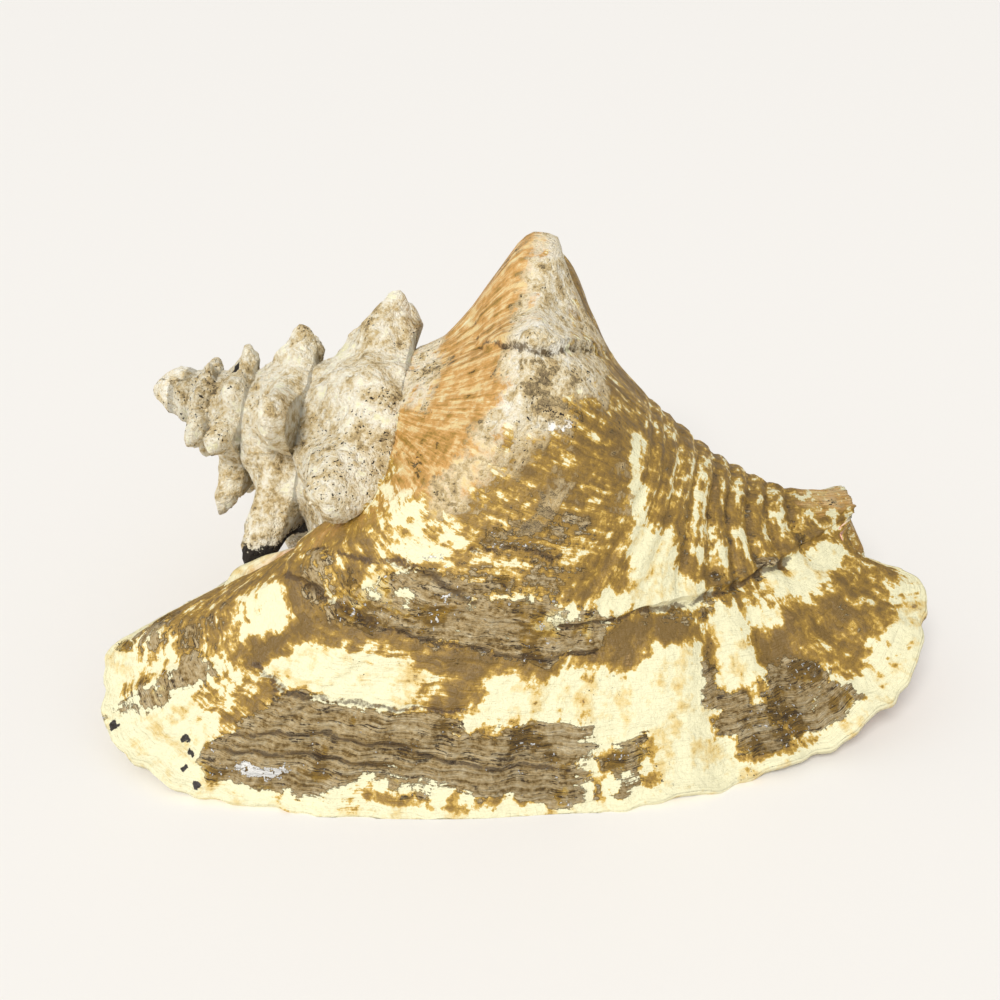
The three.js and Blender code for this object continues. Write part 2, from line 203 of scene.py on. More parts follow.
# Way out on the lip for one whorl of growth on the coil, so that patterns run on, and what one unit
# of share and of way measures, in millimetres.
WAY_PER_WHORL = 3.6
SHARE_MM = 250.0
WAY_MM = 100.0

# The spire is worn and chalky below these ways and shares.
SPIRE_WAY = (-2.4, -1.6)
SPIRE_SHARE = (0.33, 0.37)


class Layer(Enum):
    """What lies on the surface, as the name of the mesh attribute that says how much of it is there."""

    CREAM = "cream"
    OCHRE = "ochre"
    HORN = "horn"
    CHALK = "chalk"
    TAN = "tan"
    CRUST = "crust"


# Where each layer lies: share from, share to, way from, way to, lean of its sides, amount.
PATCHES = {
    Layer.OCHRE: (
        (-0.1, 1.1, -3.4, 1.2, 0, 0.5), (0.36, 0.5, 0.0, 0.36, 0, 0.14), (0.53, 0.92, 0.1, 0.36, 0, 0.1),
        (0.2, 0.62, 0.53, 0.6, 0, 0.3), (0.45, 0.51, 0.62, 0.69, 0, 0.5),
        (0.28, 0.305, 0.57, 0.72, 0, 0.5), (0.47, 0.6, 0.71, 0.83, 0, 0.5),
        (0.57, 0.65, 0.42, 0.5, 0, 0.5), (0.73, 0.785, 0.5, 0.7, 0, 0.5),
        (0.52, 0.56, 0.55, 0.62, 0, 0.3), (0.6, 0.635, 0.55, 0.63, 0, 0.25),
        (0.64, 0.67, 0.44, 0.52, 0, 0.4), (0.46, 0.52, 0.9, 0.97, 0, 0.2),
        (0.81, 0.87, 0.5, 0.66, 0, 0.2),
    ),
    Layer.CREAM: (
        (0.515, 0.545, 0.05, 0.26, 0.33, 0.8), (0.575, 0.61, 0.22, 0.41, 0.35, 0.8),
        (0.6, 0.64, 0.2, 0.36, 0.25, 0.8), (0.55, 0.7, 0.365, 0.41, 0, 0.8),
        (0.66, 0.68, 0.0, 0.04, 0, 0.6), (0.69, 0.715, 0.12, 0.18, 0.2, 0.7),
        (0.675, 0.7, 0.21, 0.28, 0.2, 0.8), (0.72, 0.745, 0.23, 0.27, 0.2, 0.7),
        (0.765, 0.785, 0.13, 0.2, 0.2, 0.7), (0.815, 0.835, 0.14, 0.2, 0.2, 0.6),
        (0.865, 0.89, 0.09, 0.16, 0, 0.8), (0.46, 0.5, -0.03, 0.07, 0, 0.6),
        (0.13, 0.33, 0.31, 0.4, -0.2, 0.45), (0.27, 0.36, 0.43, 0.48, 0.3, 0.7),
        (0.5, 0.585, 0.43, 0.475, 0, 0.8), (0.31, 0.47, 0.595, 0.705, 0.1, 1.0),
        (0.205, 0.285, 0.58, 0.71, 0, 0.55), (0.495, 0.66, 0.56, 0.76, 0, 0.8),
        (0.28, 0.365, 0.83, 1.1, 0.1, 1.0), (-0.1, 1.1, 0.955, 1.2, 0, 0.75),
        (0.45, 0.525, 0.88, 0.93, 0, 0.8), (0.635, 0.682, 0.5, 1.1, 0.03, 1.0),
        (0.7, 0.735, 0.44, 0.68, 0, 0.9), (0.745, 0.775, 0.44, 0.53, 0, 0.8),
        (0.79, 0.92, 0.3, 0.45, 0, 0.8), (0.745, 0.78, 0.87, 1.1, 0, 0.7),
        (0.79, 0.93, 0.8, 1.1, 0, 0.55), (0.59, 0.612, 0.75, 1.0, 0, 0.55),
        (0.28, 0.33, 0.73, 0.8, 0, 0.4), (0.65, 0.67, 0.0, 0.2, 0, 0.3), (0.43, 0.5, 0.27, 0.31, 0, 0.6),
        (0.39, 0.44, 0.33, 0.36, 0, 0.5), (0.238, 0.262, 0.84, 1.1, 0, 0.5),
    ),
    Layer.HORN: (
        (0.29, 0.58, 0.41, 0.54, 0, 0.75), (0.34, 0.5, 0.2, 0.4, 0, 0.36),
        (0.36, 0.6, 0.71, 0.93, 0, 0.72), (0.36, 0.47, 0.8, 0.9, 0, 0.4), (0.36, 0.46, 0.9, 0.97, 0, 0.6),
        (0.565, 0.6, 0.7, 0.98, 0, 0.5), (0.61, 0.635, 0.7, 0.98, 0, 0.65),
        (0.675, 0.702, 0.54, 0.7, 0.1, 0.7), (0.688, 0.722, 0.7, 0.92, 0.1, 0.85),
        (0.735, 0.79, 0.62, 0.92, 0.1, 0.75), (0.79, 0.83, 0.26, 0.39, 0, 0.6),
        (0.58, 0.72, 0.405, 0.45, -0.5, 0.5), (0.265, 0.3, 0.78, 1.1, 0, 0.75),
        (0.19, 0.235, 0.86, 1.1, 0, 0.5), (0.2, 0.3, 0.72, 0.9, 0, 0.2),
        (0.19, 0.31, 0.49, 0.55, -0.9, 0.5), (0.3, 0.4, 0.39, 0.42, 0, 0.5),
        (0.62, 0.9, 0.05, 0.3, 0, 0.16), (0.7, 0.76, 0.3, 0.4, 0, 0.35),
        # Painted shade: a faint patch that turns the chalk grey on the steep face below the crest.
        (0.23, 0.37, -0.05, 0.06, 0, 0.3),
    ),
    Layer.CHALK: (
        (0.22, 0.3, -0.9, 0.1, 0, 0.62), (0.2, 0.31, 0.06, 0.32, 0, 0.42),
        (0.29, 0.42, -0.5, 0.0, 0, 0.5), (-0.1, 0.09, -0.9, 0.1, 0, 0.6),
        (0.29, 0.35, 0.05, 0.09, 0.5, 0.75), (0.35, 0.42, 0.14, 0.3, 0, 0.38),
        (0.48, 0.54, 0.13, 0.2, 0, 0.45), (0.4, 0.49, 0.06, 0.12, 0, 0.3),
        (0.23, 0.36, -0.09, 0.03, 0, 0.6), (0.9, 1.2, -3.4, 0.06, 0, 0.25),
    ),
    Layer.TAN: (
        (-0.1, 0.27, -1.0, 0.3, 0, 0.8), (0.9, 1.2, -4.0, 0.1, 0, 0.5), (0.05, 0.2, 0.26, 0.6, 0, 0.35),
    ),
    Layer.CRUST: (
        (0.29, 0.345, 0.065, 0.085, -0.5, 0.9), (0.36, 0.43, 0.285, 0.3, 0, 0.6),
        (0.39, 0.42, 0.885, 0.92, 0, 0.9), (0.36, 0.41, 0.4, 0.43, 0, 0.35),
        (0.3, 0.35, 0.36, 0.38, 0, 0.4),
    ),
}

# Half width of a patch's border, and how far the border wanders, in share and in way.
PATCH_SOFT = {
    Layer.CHALK: (0.03, 0.06),
    Layer.TAN: (0.03, 0.06),
    Layer.CRUST: (0.008, 0.012),
}
PATCH_CRISP = (0.016, 0.034)
WANDER_SHARE = 0.016
WANDER_WAY = 0.036

# Open edges of old growth layers, as points of share and way out. Width and depth in millimetres. Their
# dark colour is partly dirt in the cracks and partly painted shade of the crevices and ledges.
CRACK_WIDTH = 0.7
CRACK_DEPTH = 0.9
CRACKS = (
    # Painted shadow under the ledge of the growth step.
    (
        (0.53, 0.465), (0.57, 0.45), (0.6, 0.42), (0.64, 0.415),
        (0.68, 0.4), (0.72, 0.375), (0.78, 0.33), (0.85, 0.3),
    ),
    ((0.18, 0.54), (0.22, 0.49), (0.25, 0.455), (0.28, 0.41), (0.31, 0.395), (0.36, 0.405), (0.42, 0.43)),
    ((0.2, 0.6), (0.24, 0.55), (0.3, 0.515), (0.4, 0.535), (0.5, 0.545), (0.58, 0.53)),
    ((0.36, 0.83), (0.42, 0.8), (0.47, 0.805), (0.52, 0.83), (0.58, 0.84)),
    ((0.37, 0.87), (0.43, 0.85), (0.48, 0.86)),
    ((0.3, 0.7), (0.36, 0.715), (0.44, 0.71), (0.5, 0.7)),
    ((0.34, 0.32), (0.4, 0.3), (0.46, 0.31)),
    # Painted shade under the crest across the last whorl.
    (
        (0.13, -0.3), (0.165, -0.15), (0.22, -0.08), (0.262, -0.04),
        (0.3, -0.08), (0.345, -0.17), (0.39, -0.28),
    ),
)

# Bored holes: share, way, half sizes.
DARK_SPOTS = (
    (0.18, -11.06, 0.03, 0.08), (0.335, 0.9, 0.0045, 0.01),
    (0.35, 0.915, 0.005, 0.008), (0.356, 0.95, 0.003, 0.008),
    (0.287, 0.985, 0.004, 0.012), (0.372, 0.975, 0.004, 0.008),
)

# One knob is black at its tip: way, half its size, height over the ground of full black and of none,
# in millimetres.
DARK_TIP = (-6.26, 0.4, 38.0, 42.0)

# Noises by place: size of a lump in millimetres, finer layers and how strong these are.
PLACE_NOISES = {
    "spots": (10, 5.0, 0.62),
    "marks": (3.5, 4.0, 0.6),
    "fine": (1.1, 3.0, 0.6),
    "broad": (28, 2.0, 0.6),
    "pits": (0.9, 1.0, 0.6),
    "flecks": (1.3, 3.0, 0.6),
}

# Noises that run along the growth: lumps in a unit of way and of share, finer layers, their strength.
FLOW_NOISES = {
    "lines": (52.0, 10.0, 4.0, 0.7),
    "fibres": (80.0, 16.0, 4.0, 0.65),
    "splits": (34.0, 11.0, 4.0, 0.6),
    "rays": (7.0, 60.0, 3.0, 0.6),
}


def smooth(low: float, high: float, value: Array) -> Array:
    """Smooth step.

    Args:
        low: Value where the step starts.
        high: Value where it ends.
        value: Values to judge.

    Returns:
        0 below low, 1 above high and an S-curve between.
    """
    t = np.clip((value - low) / (high - low), 0, 1)
    return t * t * (3 - 2 * t)


def mix(first: Array, second: Array, share: Array) -> Array:
    """Blend of two values.

    Args:
        first: Value at share 0.
        second: Value at share 1.
        share: How much of the second there is.

    Returns:
        The blend.
    """
    return first + (second - first) * share


def lumps(points: Array, size: float, seed: float = 0.0) -> Array:
    """Smooth noise.

    Args:
        points: Places as rows of three numbers.
        size: Size of a lump in the same unit.
        seed: Shift that gives another pattern.

    Returns:
        One value from about -1 to 1 for each place.
    """
    flat = points.reshape(-1, 3) / size + seed
    values = [noise.noise((x, y, z)) for x, y, z in flat.tolist()]
    return np.array(values).reshape(points.shape[:-1])


@dataclass(frozen=True)
class Curve:
    """Smooth curve through values at given places."""

    places: tuple[float, ...]
    values: tuple[tuple[float, ...], ...]

    @staticmethod
    def through(table: tuple) -> "Curve":
        """Curve through a table.

        Args:
            table: Pairs of a place and a value or a tuple of values.

        Returns:
            The curve.
        """
        values = [v if isinstance(v, tuple) else (v,) for _, v in table]
        return Curve(tuple(p for p, _ in table), tuple(values))

    def at(self, place: Array) -> Array:
        """Values at some places.

        Args:
            place: Places along the curve.

        Returns:
            The values, in one more dimension than the places.
        """
        x = np.array(self.places, float)
        y = np.array(self.values, float)
        slope = np.empty_like(y)
        slope[1:-1] = (y[2:] - y[:-2]) / (x[2:] - x[:-2])[:, None]
        slope[0] = (y[1] - y[0]) / (x[1] - x[0])
        slope[-1] = (y[-1] - y[-2]) / (x[-1] - x[-2])
        t = np.clip(place, x[0], x[-1])
        i = np.clip(np.searchsorted(x, t, side="right") - 1, 0, len(x) - 2)
        step = (x[i + 1] - x[i])[..., None]
        s = ((t - x[i]) / (x[i + 1] - x[i]))[..., None]
        ends = (2 * s**3 - 3 * s**2 + 1) * y[i] + (3 * s**2 - 2 * s**3) * y[i + 1]
        return ends + (s**3 - 2 * s**2 + s) * step * slope[i] + (s**3 - s**2) * step * slope[i + 1]


@dataclass(frozen=True)
class Growth:
    """The formulas of the shell's outside, in millimetres."""

    outline: Curve = Curve.through(OUTLINE)
    margin: Curve = Curve.through(LIP_MARGIN)
    direction: Curve = Curve.through(LIP_DIRECTION)
    step_line: Curve = Curve.through(STEP_LINE)
    crest_line: Curve = Curve.through(CREST_LINE)

    @property
    def lengths(self) -> Array:
        """Length along the outline at each of its points.

        Returns:
            The lengths in millimetres.
        """
        steps = np.hypot(*np.diff(np.array(OUTLINE, float), axis=0).T)
        return np.concatenate([[0], np.cumsum(steps)])

    def place_at(self, share: Array) -> Array:
        """Outline place at a share of the outline's length.

        Args:
            share: The share.

        Returns:
            The place.
        """
        return np.interp(share * self.lengths[-1], self.lengths, [p[0] for p in OUTLINE])

    def share_at(self, place: Array) -> Array:
        """Share of the outline's length at an outline place.

        Args:
            place: The place.

        Returns:
            The share.
        """
        return np.interp(place, [p[0] for p in OUTLINE], self.lengths) / self.lengths[-1]

    def plain(self, growth: Array, place: Array) -> tuple[Array, Array]:
        """Whorl without knobs.

        Args:
            growth: Whorls of growth.
            place: Outline place.

        Returns:
            Distance along the axis and radius.
        """
        scale = WHORL_RATIO**growth
        fixed = smooth(*CANAL_BLEND, place) * smooth(-1.0, -0.93, growth)
        along = place * mix(scale, 1, fixed)
        radius = self.outline.at(place)[..., 0] * scale ** (1 + COLUMN_SLIMMING * fixed)
        return along, radius + TIP_BLUNT * np.exp(-along / TIP_REACH)

    def space(self, growth: Array, along: Array, radius: Array) -> Array:
        """Point in space of a place beside the bent coiling axis.

        Args:
            growth: Whorls of growth, which say how far round the axis it is.
            along: Distance along the axis.
            radius: Distance from the axis.

        Returns:
            The points.
        """
        yaw, drop = math.radians(AXIS_YAW), math.radians(AXIS_DROP)
        axis = np.array([math.cos(yaw) * math.cos(drop), -math.sin(yaw) * math.cos(drop), -math.sin(drop)])
        up = np.array([math.cos(yaw) * math.sin(drop), -math.sin(yaw) * math.sin(drop), math.cos(drop)])
        front = np.array([-math.sin(yaw), -math.cos(yaw), 0.0])
        last = smooth(-1.2, -0.95, growth)
        past_up = np.maximum((along - BEND_UP.start) / BEND_UP.length, 0)
        rise = last * BEND_UP.size * past_up ** BEND_UP.power
        past_back = np.maximum((along - BEND_BACK.start) / BEND_BACK.length, 0)
        back = last * BEND_BACK.size * past_back ** BEND_BACK.power
        angle = 2 * np.pi * growth
        under = (1 - np.cos(angle + math.radians(CANAL_SLANT.turn))) / 2
        slant = last * CANAL_SLANT.size * under * smooth(CANAL_SLANT.start, CANAL_SLANT.end, along)
        point = np.array(APEX) + (along + slant)[..., None] * axis
        point = point + (radius * np.cos(angle) + rise)[..., None] * up
        return point + (radius * np.sin(angle) - back)[..., None] * front

    def outside(self, growth: Array, place: Array, sink: Array | float = 0.0) -> Array:
        """Point on the outside of the coil.

        Args:
            growth: Whorls of growth.
            place: Outline place.
            sink: How far below the surface the point is.

        Returns:
            The points.
        """
        growth, place = np.broadcast_arrays(np.asarray(growth, float), np.asarray(place, float))
        along, radius = self.plain(growth, place)
        for at, height, crest, width in KNOBS:
            reach = np.where(place < crest, *KNOB_REACH)
            across = ((growth - at) / width) ** 2 + ((place - crest) / reach) ** 2
            radius = radius + WHORL_RATIO**growth * height * np.exp(-0.5 * across)
        return self.space(growth, along, radius - sink)

    def lip(self, way: Array, share: Array) -> Array:
        """Point on the smooth outside of the lip.

        Args:
            way: 0 at the coil and 1 at the margin.
            share: 0 at the suture and 1 at the canal.

        Returns:
            The points.
        """
        place = self.place_at(share)
        start = self.outside(LIP_GROWTH, place)
        enter = start - self.outside(LIP_GROWTH - 0.001, place)
        enter = enter / np.linalg.norm(enter, axis=-1, keepdims=True)
        leave = self.direction.at(share)
        leave = leave / np.linalg.norm(leave, axis=-1, keepdims=True)
        chipped = sum(size * np.sin(2 * np.pi * (waves * share + size)) for waves, size in EDGE_WAVES)
        end = self.margin.at(share) + leave * chipped[..., None]
        span = np.linalg.norm(end - start, axis=-1, keepdims=True)
        w = way[..., None]
        ends = start * (2 * w**3 - 3 * w**2 + 1) + end * (3 * w**2 - 2 * w**3)
        pull = enter * (w**3 - 2 * w**2 + w) * LIP_START_PULL + leave * (w**3 - w**2) * LIP_END_PULL
        return ends + pull * span

    def lip_normal(self, way: Array, share: Array) -> Array:
        """Outward direction of the smooth lip.

        Args:
            way: 0 at the coil and 1 at the margin.
            share: 0 at the suture and 1 at the canal.

        Returns:
            Unit vectors.
        """
        step = 0.01
        over = self.lip(np.minimum(way + step, 1), share) - self.lip(np.maximum(way - step, 0), share)
        along = self.lip(way, np.minimum(share + step, 1)) - self.lip(way, np.maximum(share - step, 0))
        normal = np.cross(over, along)
        return normal / np.linalg.norm(normal, axis=-1, keepdims=True)

    def folds(self, way: Array, share: Array) -> Array:
        """Height of the folds over the smooth lip.

        Args:
            way: 0 at the coil and 1 at the margin.
            share: 0 at the suture and 1 at the canal.

        Returns:
            The heights in millimetres.
        """
        height = np.zeros_like(share)
        for at, size, left, right in FOLDS:
            height += size * np.exp(-0.5 * ((share - at) / np.where(share < at, left, right)) ** 2)
        return height * smooth(*FOLD_RAMP, way)

    def step_down(self, way: Array, share: Array) -> Array:
        """Depth of the surface beyond the growth step, which has a crisp upper edge.

        Args:
            way: 0 at the coil and 1 at the margin.
            share: 0 at the suture and 1 at the canal.

        Returns:
            The depths in millimetres, below 0.
        """
        line = self.step_line.at(share)[..., 0]
        ends = smooth(0, 0.1, share) * (1 - smooth(0.9, 1, share))
        return -STEP_DROP * ends * smooth(line - STEP_HALF, line + STEP_HALF, way)


GROWTH = Growth()


@dataclass
class Markings:
    """How much of each layer lies at places on the outside of the shell."""

    way: Array
    share: Array
    wander_share: Array = field(init=False)
    wander_way: Array = field(init=False)

    def __post_init__(self) -> None:
        """Makes the borders of the patches wander."""
        spot = np.stack([self.way * WAY_MM, self.share * SHARE_MM, np.zeros_like(self.way)], -1)
        broad, fine = lumps(spot, 14, 3.0), lumps(spot, 5, 8.0)
        self.wander_share = WANDER_SHARE * broad + WANDER_SHARE * 0.6 * fine
        broad, fine = lumps(spot, 16, 5.0), lumps(spot, 6, 9.0)
        self.wander_way = WANDER_WAY * broad + WANDER_WAY * 0.5 * fine

    def amount(self, layer: Layer) -> Array:
        """Amount of one layer.

        Args:
            layer: The layer.

        Returns:
            Sum of what its patches give.
        """
        way = self.way + self.wander_way
        total = np.zeros_like(way)
        soft_share, soft_way = PATCH_SOFT.get(layer, PATCH_CRISP)
        for s0, s1, w0, w1, lean, amount in PATCHES[layer]:
            share = self.share + self.wander_share - lean * (way - (w0 + w1) / 2)
            across = smooth(s0 - soft_share, s0 + soft_share, share)
            across = across * (1 - smooth(s1 - soft_share, s1 + soft_share, share))
            out = smooth(w0 - soft_way, w0 + soft_way, way)
            total += amount * across * out * (1 - smooth(w1 - soft_way, w1 + soft_way, way))
        return total

    def cracks(self) -> Array:
        """How deep in a crack each place is.

        Returns:
            Values from 0 to 1.
        """
        nearest = np.full_like(self.way, np.inf)
        scale = np.array([SHARE_MM, WAY_MM])
        share = self.share + self.wander_share * 0.35
        at = np.stack([share, self.way + self.wander_way * 0.35], -1) * scale
        for line in CRACKS:
            points = np.array(line) * scale
            for start, end in zip(points, points[1:]):
                way = end - start
                along = np.clip((at - start) @ way / (way @ way), 0, 1)
                off = at - start - along[..., None] * way
                nearest = np.minimum(nearest, np.linalg.norm(off, axis=-1))
        return np.exp(-0.5 * (nearest / CRACK_WIDTH) ** 2)


@dataclass
class Skin:
    """A closed mesh being gathered: points, what is known at each, and faces."""

    names: ClassVar[tuple[str, ...]] = (
        *(layer.value for layer in Layer), "crack", "dark", "relief", "worn", "inside", "made",
    )
    points: list[Array] = field(default_factory=list)
    known: dict[str, list[Array]] = field(default_factory=dict)
    faces: list[list[int]] = field(default_factory=list)
    flow: list[Array] = field(default_factory=list)
    size: int = 0

    def add(self, points: Array, flow: Array, **known: Array) -> Array:
        """Adds points.

        Args:
            points: Places in millimetres, in a grid of any shape.
            flow: Way out and share of each point.
            known: Values of named attributes; the others are 0.

        Returns:
            The points' numbers in the same grid.
        """
        flat = points.reshape(-1, 3)
        self.points.append(flat)
        self.flow.append(flow.reshape(-1, 2))
        for name in self.names:
            value = known.get(name, float(name == "made"))
            value = np.broadcast_to(value, points.shape[:-1]).reshape(-1)
            self.known.setdefault(name, []).append(value)
        numbers = np.arange(self.size, self.size + len(flat)).reshape(points.shape[:-1])
        self.size += len(flat)
        return numbers

    def sheet(self, grid: Array) -> None:
        """Adds faces over a grid of points.

        Args:
            grid: Point numbers, whose rows turn left onto its columns as seen from outside.
        """
        quads = np.stack([grid[:-1, :-1], grid[1:, :-1], grid[1:, 1:], grid[:-1, 1:]], -1)
        self.faces.extend(quads.reshape(-1, 4).tolist())

    def strip(self, first: list[int], second: list[int]) -> None:
        """Joins two rows of points with different counts.

        Args:
            first: One row.
            second: The other, to the left of the first.
        """
        i = k = 0
        while i < len(first) - 1 or k < len(second) - 1:
            next_first = (i + 1) / (len(first) - 1) if i < len(first) - 1 else 2
            next_second = (k + 1) / (len(second) - 1) if k < len(second) - 1 else 2
            if next_first <= next_second:
                face = [first[i], first[i + 1], second[k]]
                i += 1
            else:
                face = [first[i], second[k + 1], second[k]]
                k += 1
            if len(set(face)) == 3:
                self.faces.append(face)

    def fan(self, centre: int, ring: list[int]) -> None:
        """Joins a row of points to one point.

        Args:
            centre: The point.
            ring: The row.
        """
        self.faces.extend([centre, a, b] for a, b in zip(ring, ring[1:]))

    def item(self, name: str) -> bpy.types.Object:
        """Makes a mesh object, in metres and in the CAD part's frame.

        Args:
            name: Its name.

        Returns:
            The object of the gathered points and faces.
        """
        points = (np.concatenate(self.points) - (*CENTRE, 0)) * MM
        corners = np.concatenate([np.array(face) for face in self.faces])
        used, renumbered = np.unique(corners, return_inverse=True)
        ends = np.cumsum([len(face) for face in self.faces])
        faces = np.split(renumbered, ends[:-1])
        mesh = bpy.data.meshes.new(name)
        mesh.from_pydata(points[used].tolist(), [], [face.tolist() for face in faces])
        for key, values in self.known.items():
            attribute = mesh.attributes.new(key, "FLOAT", "POINT")
            attribute.data.foreach_set("value", np.concatenate(values)[used].astype(np.float32))
        flow = mesh.uv_layers.new(name="flow")
        flow.uv.foreach_set("vector", np.concatenate(self.flow)[corners].astype(np.float32).ravel())
        return placed(mesh, name)


@dataclass
class Coil:
    """The coiled part. Each whorl starts on the row of the one before that it grew over."""

    dense_from: float = -0.27
    dense_columns: int = 108
    plain_columns: int = 56
    spire_rows: int = 24
    body_rows: int = 66
    tip_rows: int = 7

    def skin(self) -> Skin:
        """Makes the coil.

        Returns:
            Its closed surface.
        """
        skin = Skin()
        start = LIP_GROWTH - 1
        plain = np.linspace(start, self.dense_from, self.plain_columns, endpoint=False)
        dense = np.linspace(self.dense_from, LIP_GROWTH, self.dense_columns, endpoint=False)
        turn = np.concatenate([plain, dense])
        count = len(turn)
        columns = [turn[i % count] + i // count - (WHORLS - 1) for i in range(WHORLS * count + 1)]
        spire_share = float(GROWTH.share_at(SPIRE_END))
        spire = np.linspace(0, spire_share, self.spire_rows + 1)
        body = np.linspace(spire_share, 1, self.body_rows + 1)[1:]
        upper = self.grid(skin, np.array(columns), spire)
        upper[count:, 0] = upper[:-count, -1]
        lower = self.grid(skin, np.array(columns[-count - 1:]), body)
        skin.sheet(upper)
        last = np.concatenate([upper[-count - 1:], lower], axis=1)
        skin.sheet(last[:, self.spire_rows:])
        self.close(skin, upper, last, count)
        return skin

    def grid(self, skin: Skin, growths: Array, shares: Array) -> Array:
        """Adds the points at all pairs of growth and share.

        Args:
            skin: What they are added to.
            growths: Whorls of growth.
            shares: Shares of the outline's length.

        Returns:
            The points' numbers, a row for each growth.
        """
        growth, share = np.meshgrid(growths, shares, indexing="ij")
        start = LIP_GROWTH - LIP_OVERLAP
        under_lip = smooth(start + 0.005, start + 0.025, growth)
        under_lip = under_lip * smooth(0, 0.03, share) * (1 - smooth(0.97, 1, share))
        points = GROWTH.outside(growth, GROWTH.place_at(share), SEAM_SINK * under_lip)
        way = (growth - LIP_GROWTH) * WAY_PER_WHORL
        return skin.add(points, np.stack([way, share], -1), **surface_values(points, way, share))

    def close(self, skin: Skin, upper: Array, last: Array, count: int) -> None:
        """Closes the tip, the growing end and the end of the canal.

        Args:
            skin: What is closed.
            upper: Points of the part that later whorls cover in turn.
            last: Points of the last whorl.
            count: Columns in a whorl.
        """
        self.round_tip(skin, [*upper[:count + 1, 0][::-1].tolist(), *upper[0, 1:].tolist()])
        skin.strip(last[0, self.spire_rows:].tolist(), last[-1].tolist())
        ring = last[:, -1].tolist()
        middle = np.concatenate(skin.points)[ring].mean(0)
        end = int(skin.add(middle[None], np.zeros((1, 2)), tan=0.9, chalk=0.3)[0])
        skin.fan(end, [*ring, ring[0]])

    def round_tip(self, skin: Skin, ring: list[int]) -> None:
        """Closes the tip of the spire with a dome.

        Args:
            skin: What is closed.
            ring: Closed ring of points that the dome starts from.
        """
        along = GROWTH.space(np.zeros(2), np.array([TIP_START, TIP_START + 1]), np.zeros(2))
        top, axis = along[0], along[1] - along[0]
        off = np.concatenate(skin.points)[ring[:-1]] - top
        deep = (off @ axis)[:, None] * axis
        rows = []
        for t in np.linspace(0, np.pi / 2, self.tip_rows + 1)[1:-1]:
            points = top + (off - deep) * np.sin(t) + deep * (1 - np.cos(t))
            row = skin.add(points, np.zeros((len(points), 2)), chalk=0.9, worn=1.0).tolist()
            rows.append([*row, row[0]])
        skin.sheet(np.array([*rows, ring]))
        end = int(skin.add(top[None], np.zeros((1, 2)), chalk=0.9, worn=1.0)[0])
        skin.fan(end, rows[0])


def surface_values(points: Array, way: Array, share: Array) -> dict[str, Array]:
    """What is known at places on the outside.

    Args:
        points: The places in millimetres.
        way: Way out on the lip, below 0 on the coil.
        share: Share from suture to canal.

    Returns:
        Attribute values by name.
    """
    marks = Markings(way, share)
    known = {layer.value: marks.amount(layer) for layer in Layer}
    spire = (1 - smooth(*SPIRE_WAY, way)) * (1 - smooth(*SPIRE_SHARE, share))
    known["worn"] = np.clip(spire + known["chalk"] * 0.5, 0, 1)
    known["chalk"] = known["chalk"] + 0.7 * spire
    known["ochre"] = known["ochre"] * (1 - 0.6 * spire)
    known["crack"] = marks.cracks()
    known["dark"] = np.zeros_like(share)
    for at_share, at_way, half_share, half_way in DARK_SPOTS:
        off = ((share - at_share) / half_share) ** 2 + ((way - at_way) / half_way) ** 2
        known["dark"] += 1 - smooth(0.7, 1.3, off)
    tip_way, tip_half, tip_full, tip_none = DARK_TIP
    knob = 1 - smooth(0.8, 1.0, np.abs(way - tip_way) / tip_half)
    height = points[..., 2] + 2 * lumps(points, 4.0)
    known["dark"] += knob * (1 - smooth(tip_full, tip_none, height))
    cords = np.zeros_like(share)
    for groove in CORD_GROOVES:
        cords -= np.exp(-0.5 * ((share - groove) / CORD_WIDTH) ** 2)
    shown = smooth(*CORD_WAYS[0], way) * (1 - smooth(*CORD_WAYS[1], way)) * (1 - spire)
    # Painted shade in the grooves between the cords, laid on through the crack colour.
    known["crack"] = known["crack"] - 0.55 * cords * shown * smooth(*CORD_COLOURED, share)
    known["cream"] = known["cream"] + 0.3 * shown * smooth(*CORD_COLOURED, share) * (0.4 + cords)
    cords *= CORD_DEPTH * shown
    flow = np.stack([way * WAY_MM, share * 30, np.zeros_like(way)], -1)
    lines = lumps(flow, 3.0, 1.0) * 0.4 + lumps(flow, 8.0, 2.0) * 0.7
    flakes = smooth(0.35, 0.6, known["horn"]) * (0.5 + 1.2 * np.abs(lumps(flow, 5.0, 6.0)))
    bare = known["cream"] * -0.3
    grown = cords + ridges(way, share) + (lines + flakes + bare) * (1 - spire)
    known["relief"] = grown - CRACK_DEPTH * known["crack"]
    return known


def ridges(way: Array, share: Array) -> Array:
    """Height of the pinched ridge below the tallest knob and of the crest that crosses it.

    Args:
        way: Way out on the lip, below 0 on the coil.
        share: Share from suture to canal.

    Returns:
        The heights in millimetres.
    """
    shown = smooth(*RIDGE_WAYS[0], way) * (1 - smooth(*RIDGE_WAYS[1], way))
    ridge = RIDGE_HEIGHT * shown * np.exp(-0.5 * ((share - RIDGE_SHARE) / RIDGE_WIDTH) ** 2)
    line = GROWTH.crest_line.at(share)[..., 0]
    before = np.exp(-np.maximum(line - way, 0) / CREST_RISE)
    past = 1 - smooth(line, line + CREST_DROP, way)
    ends = smooth(*CREST_ENDS[0], share) * (1 - smooth(*CREST_ENDS[1], share))
    return ridge + CREST_HEIGHT * ends * before * past


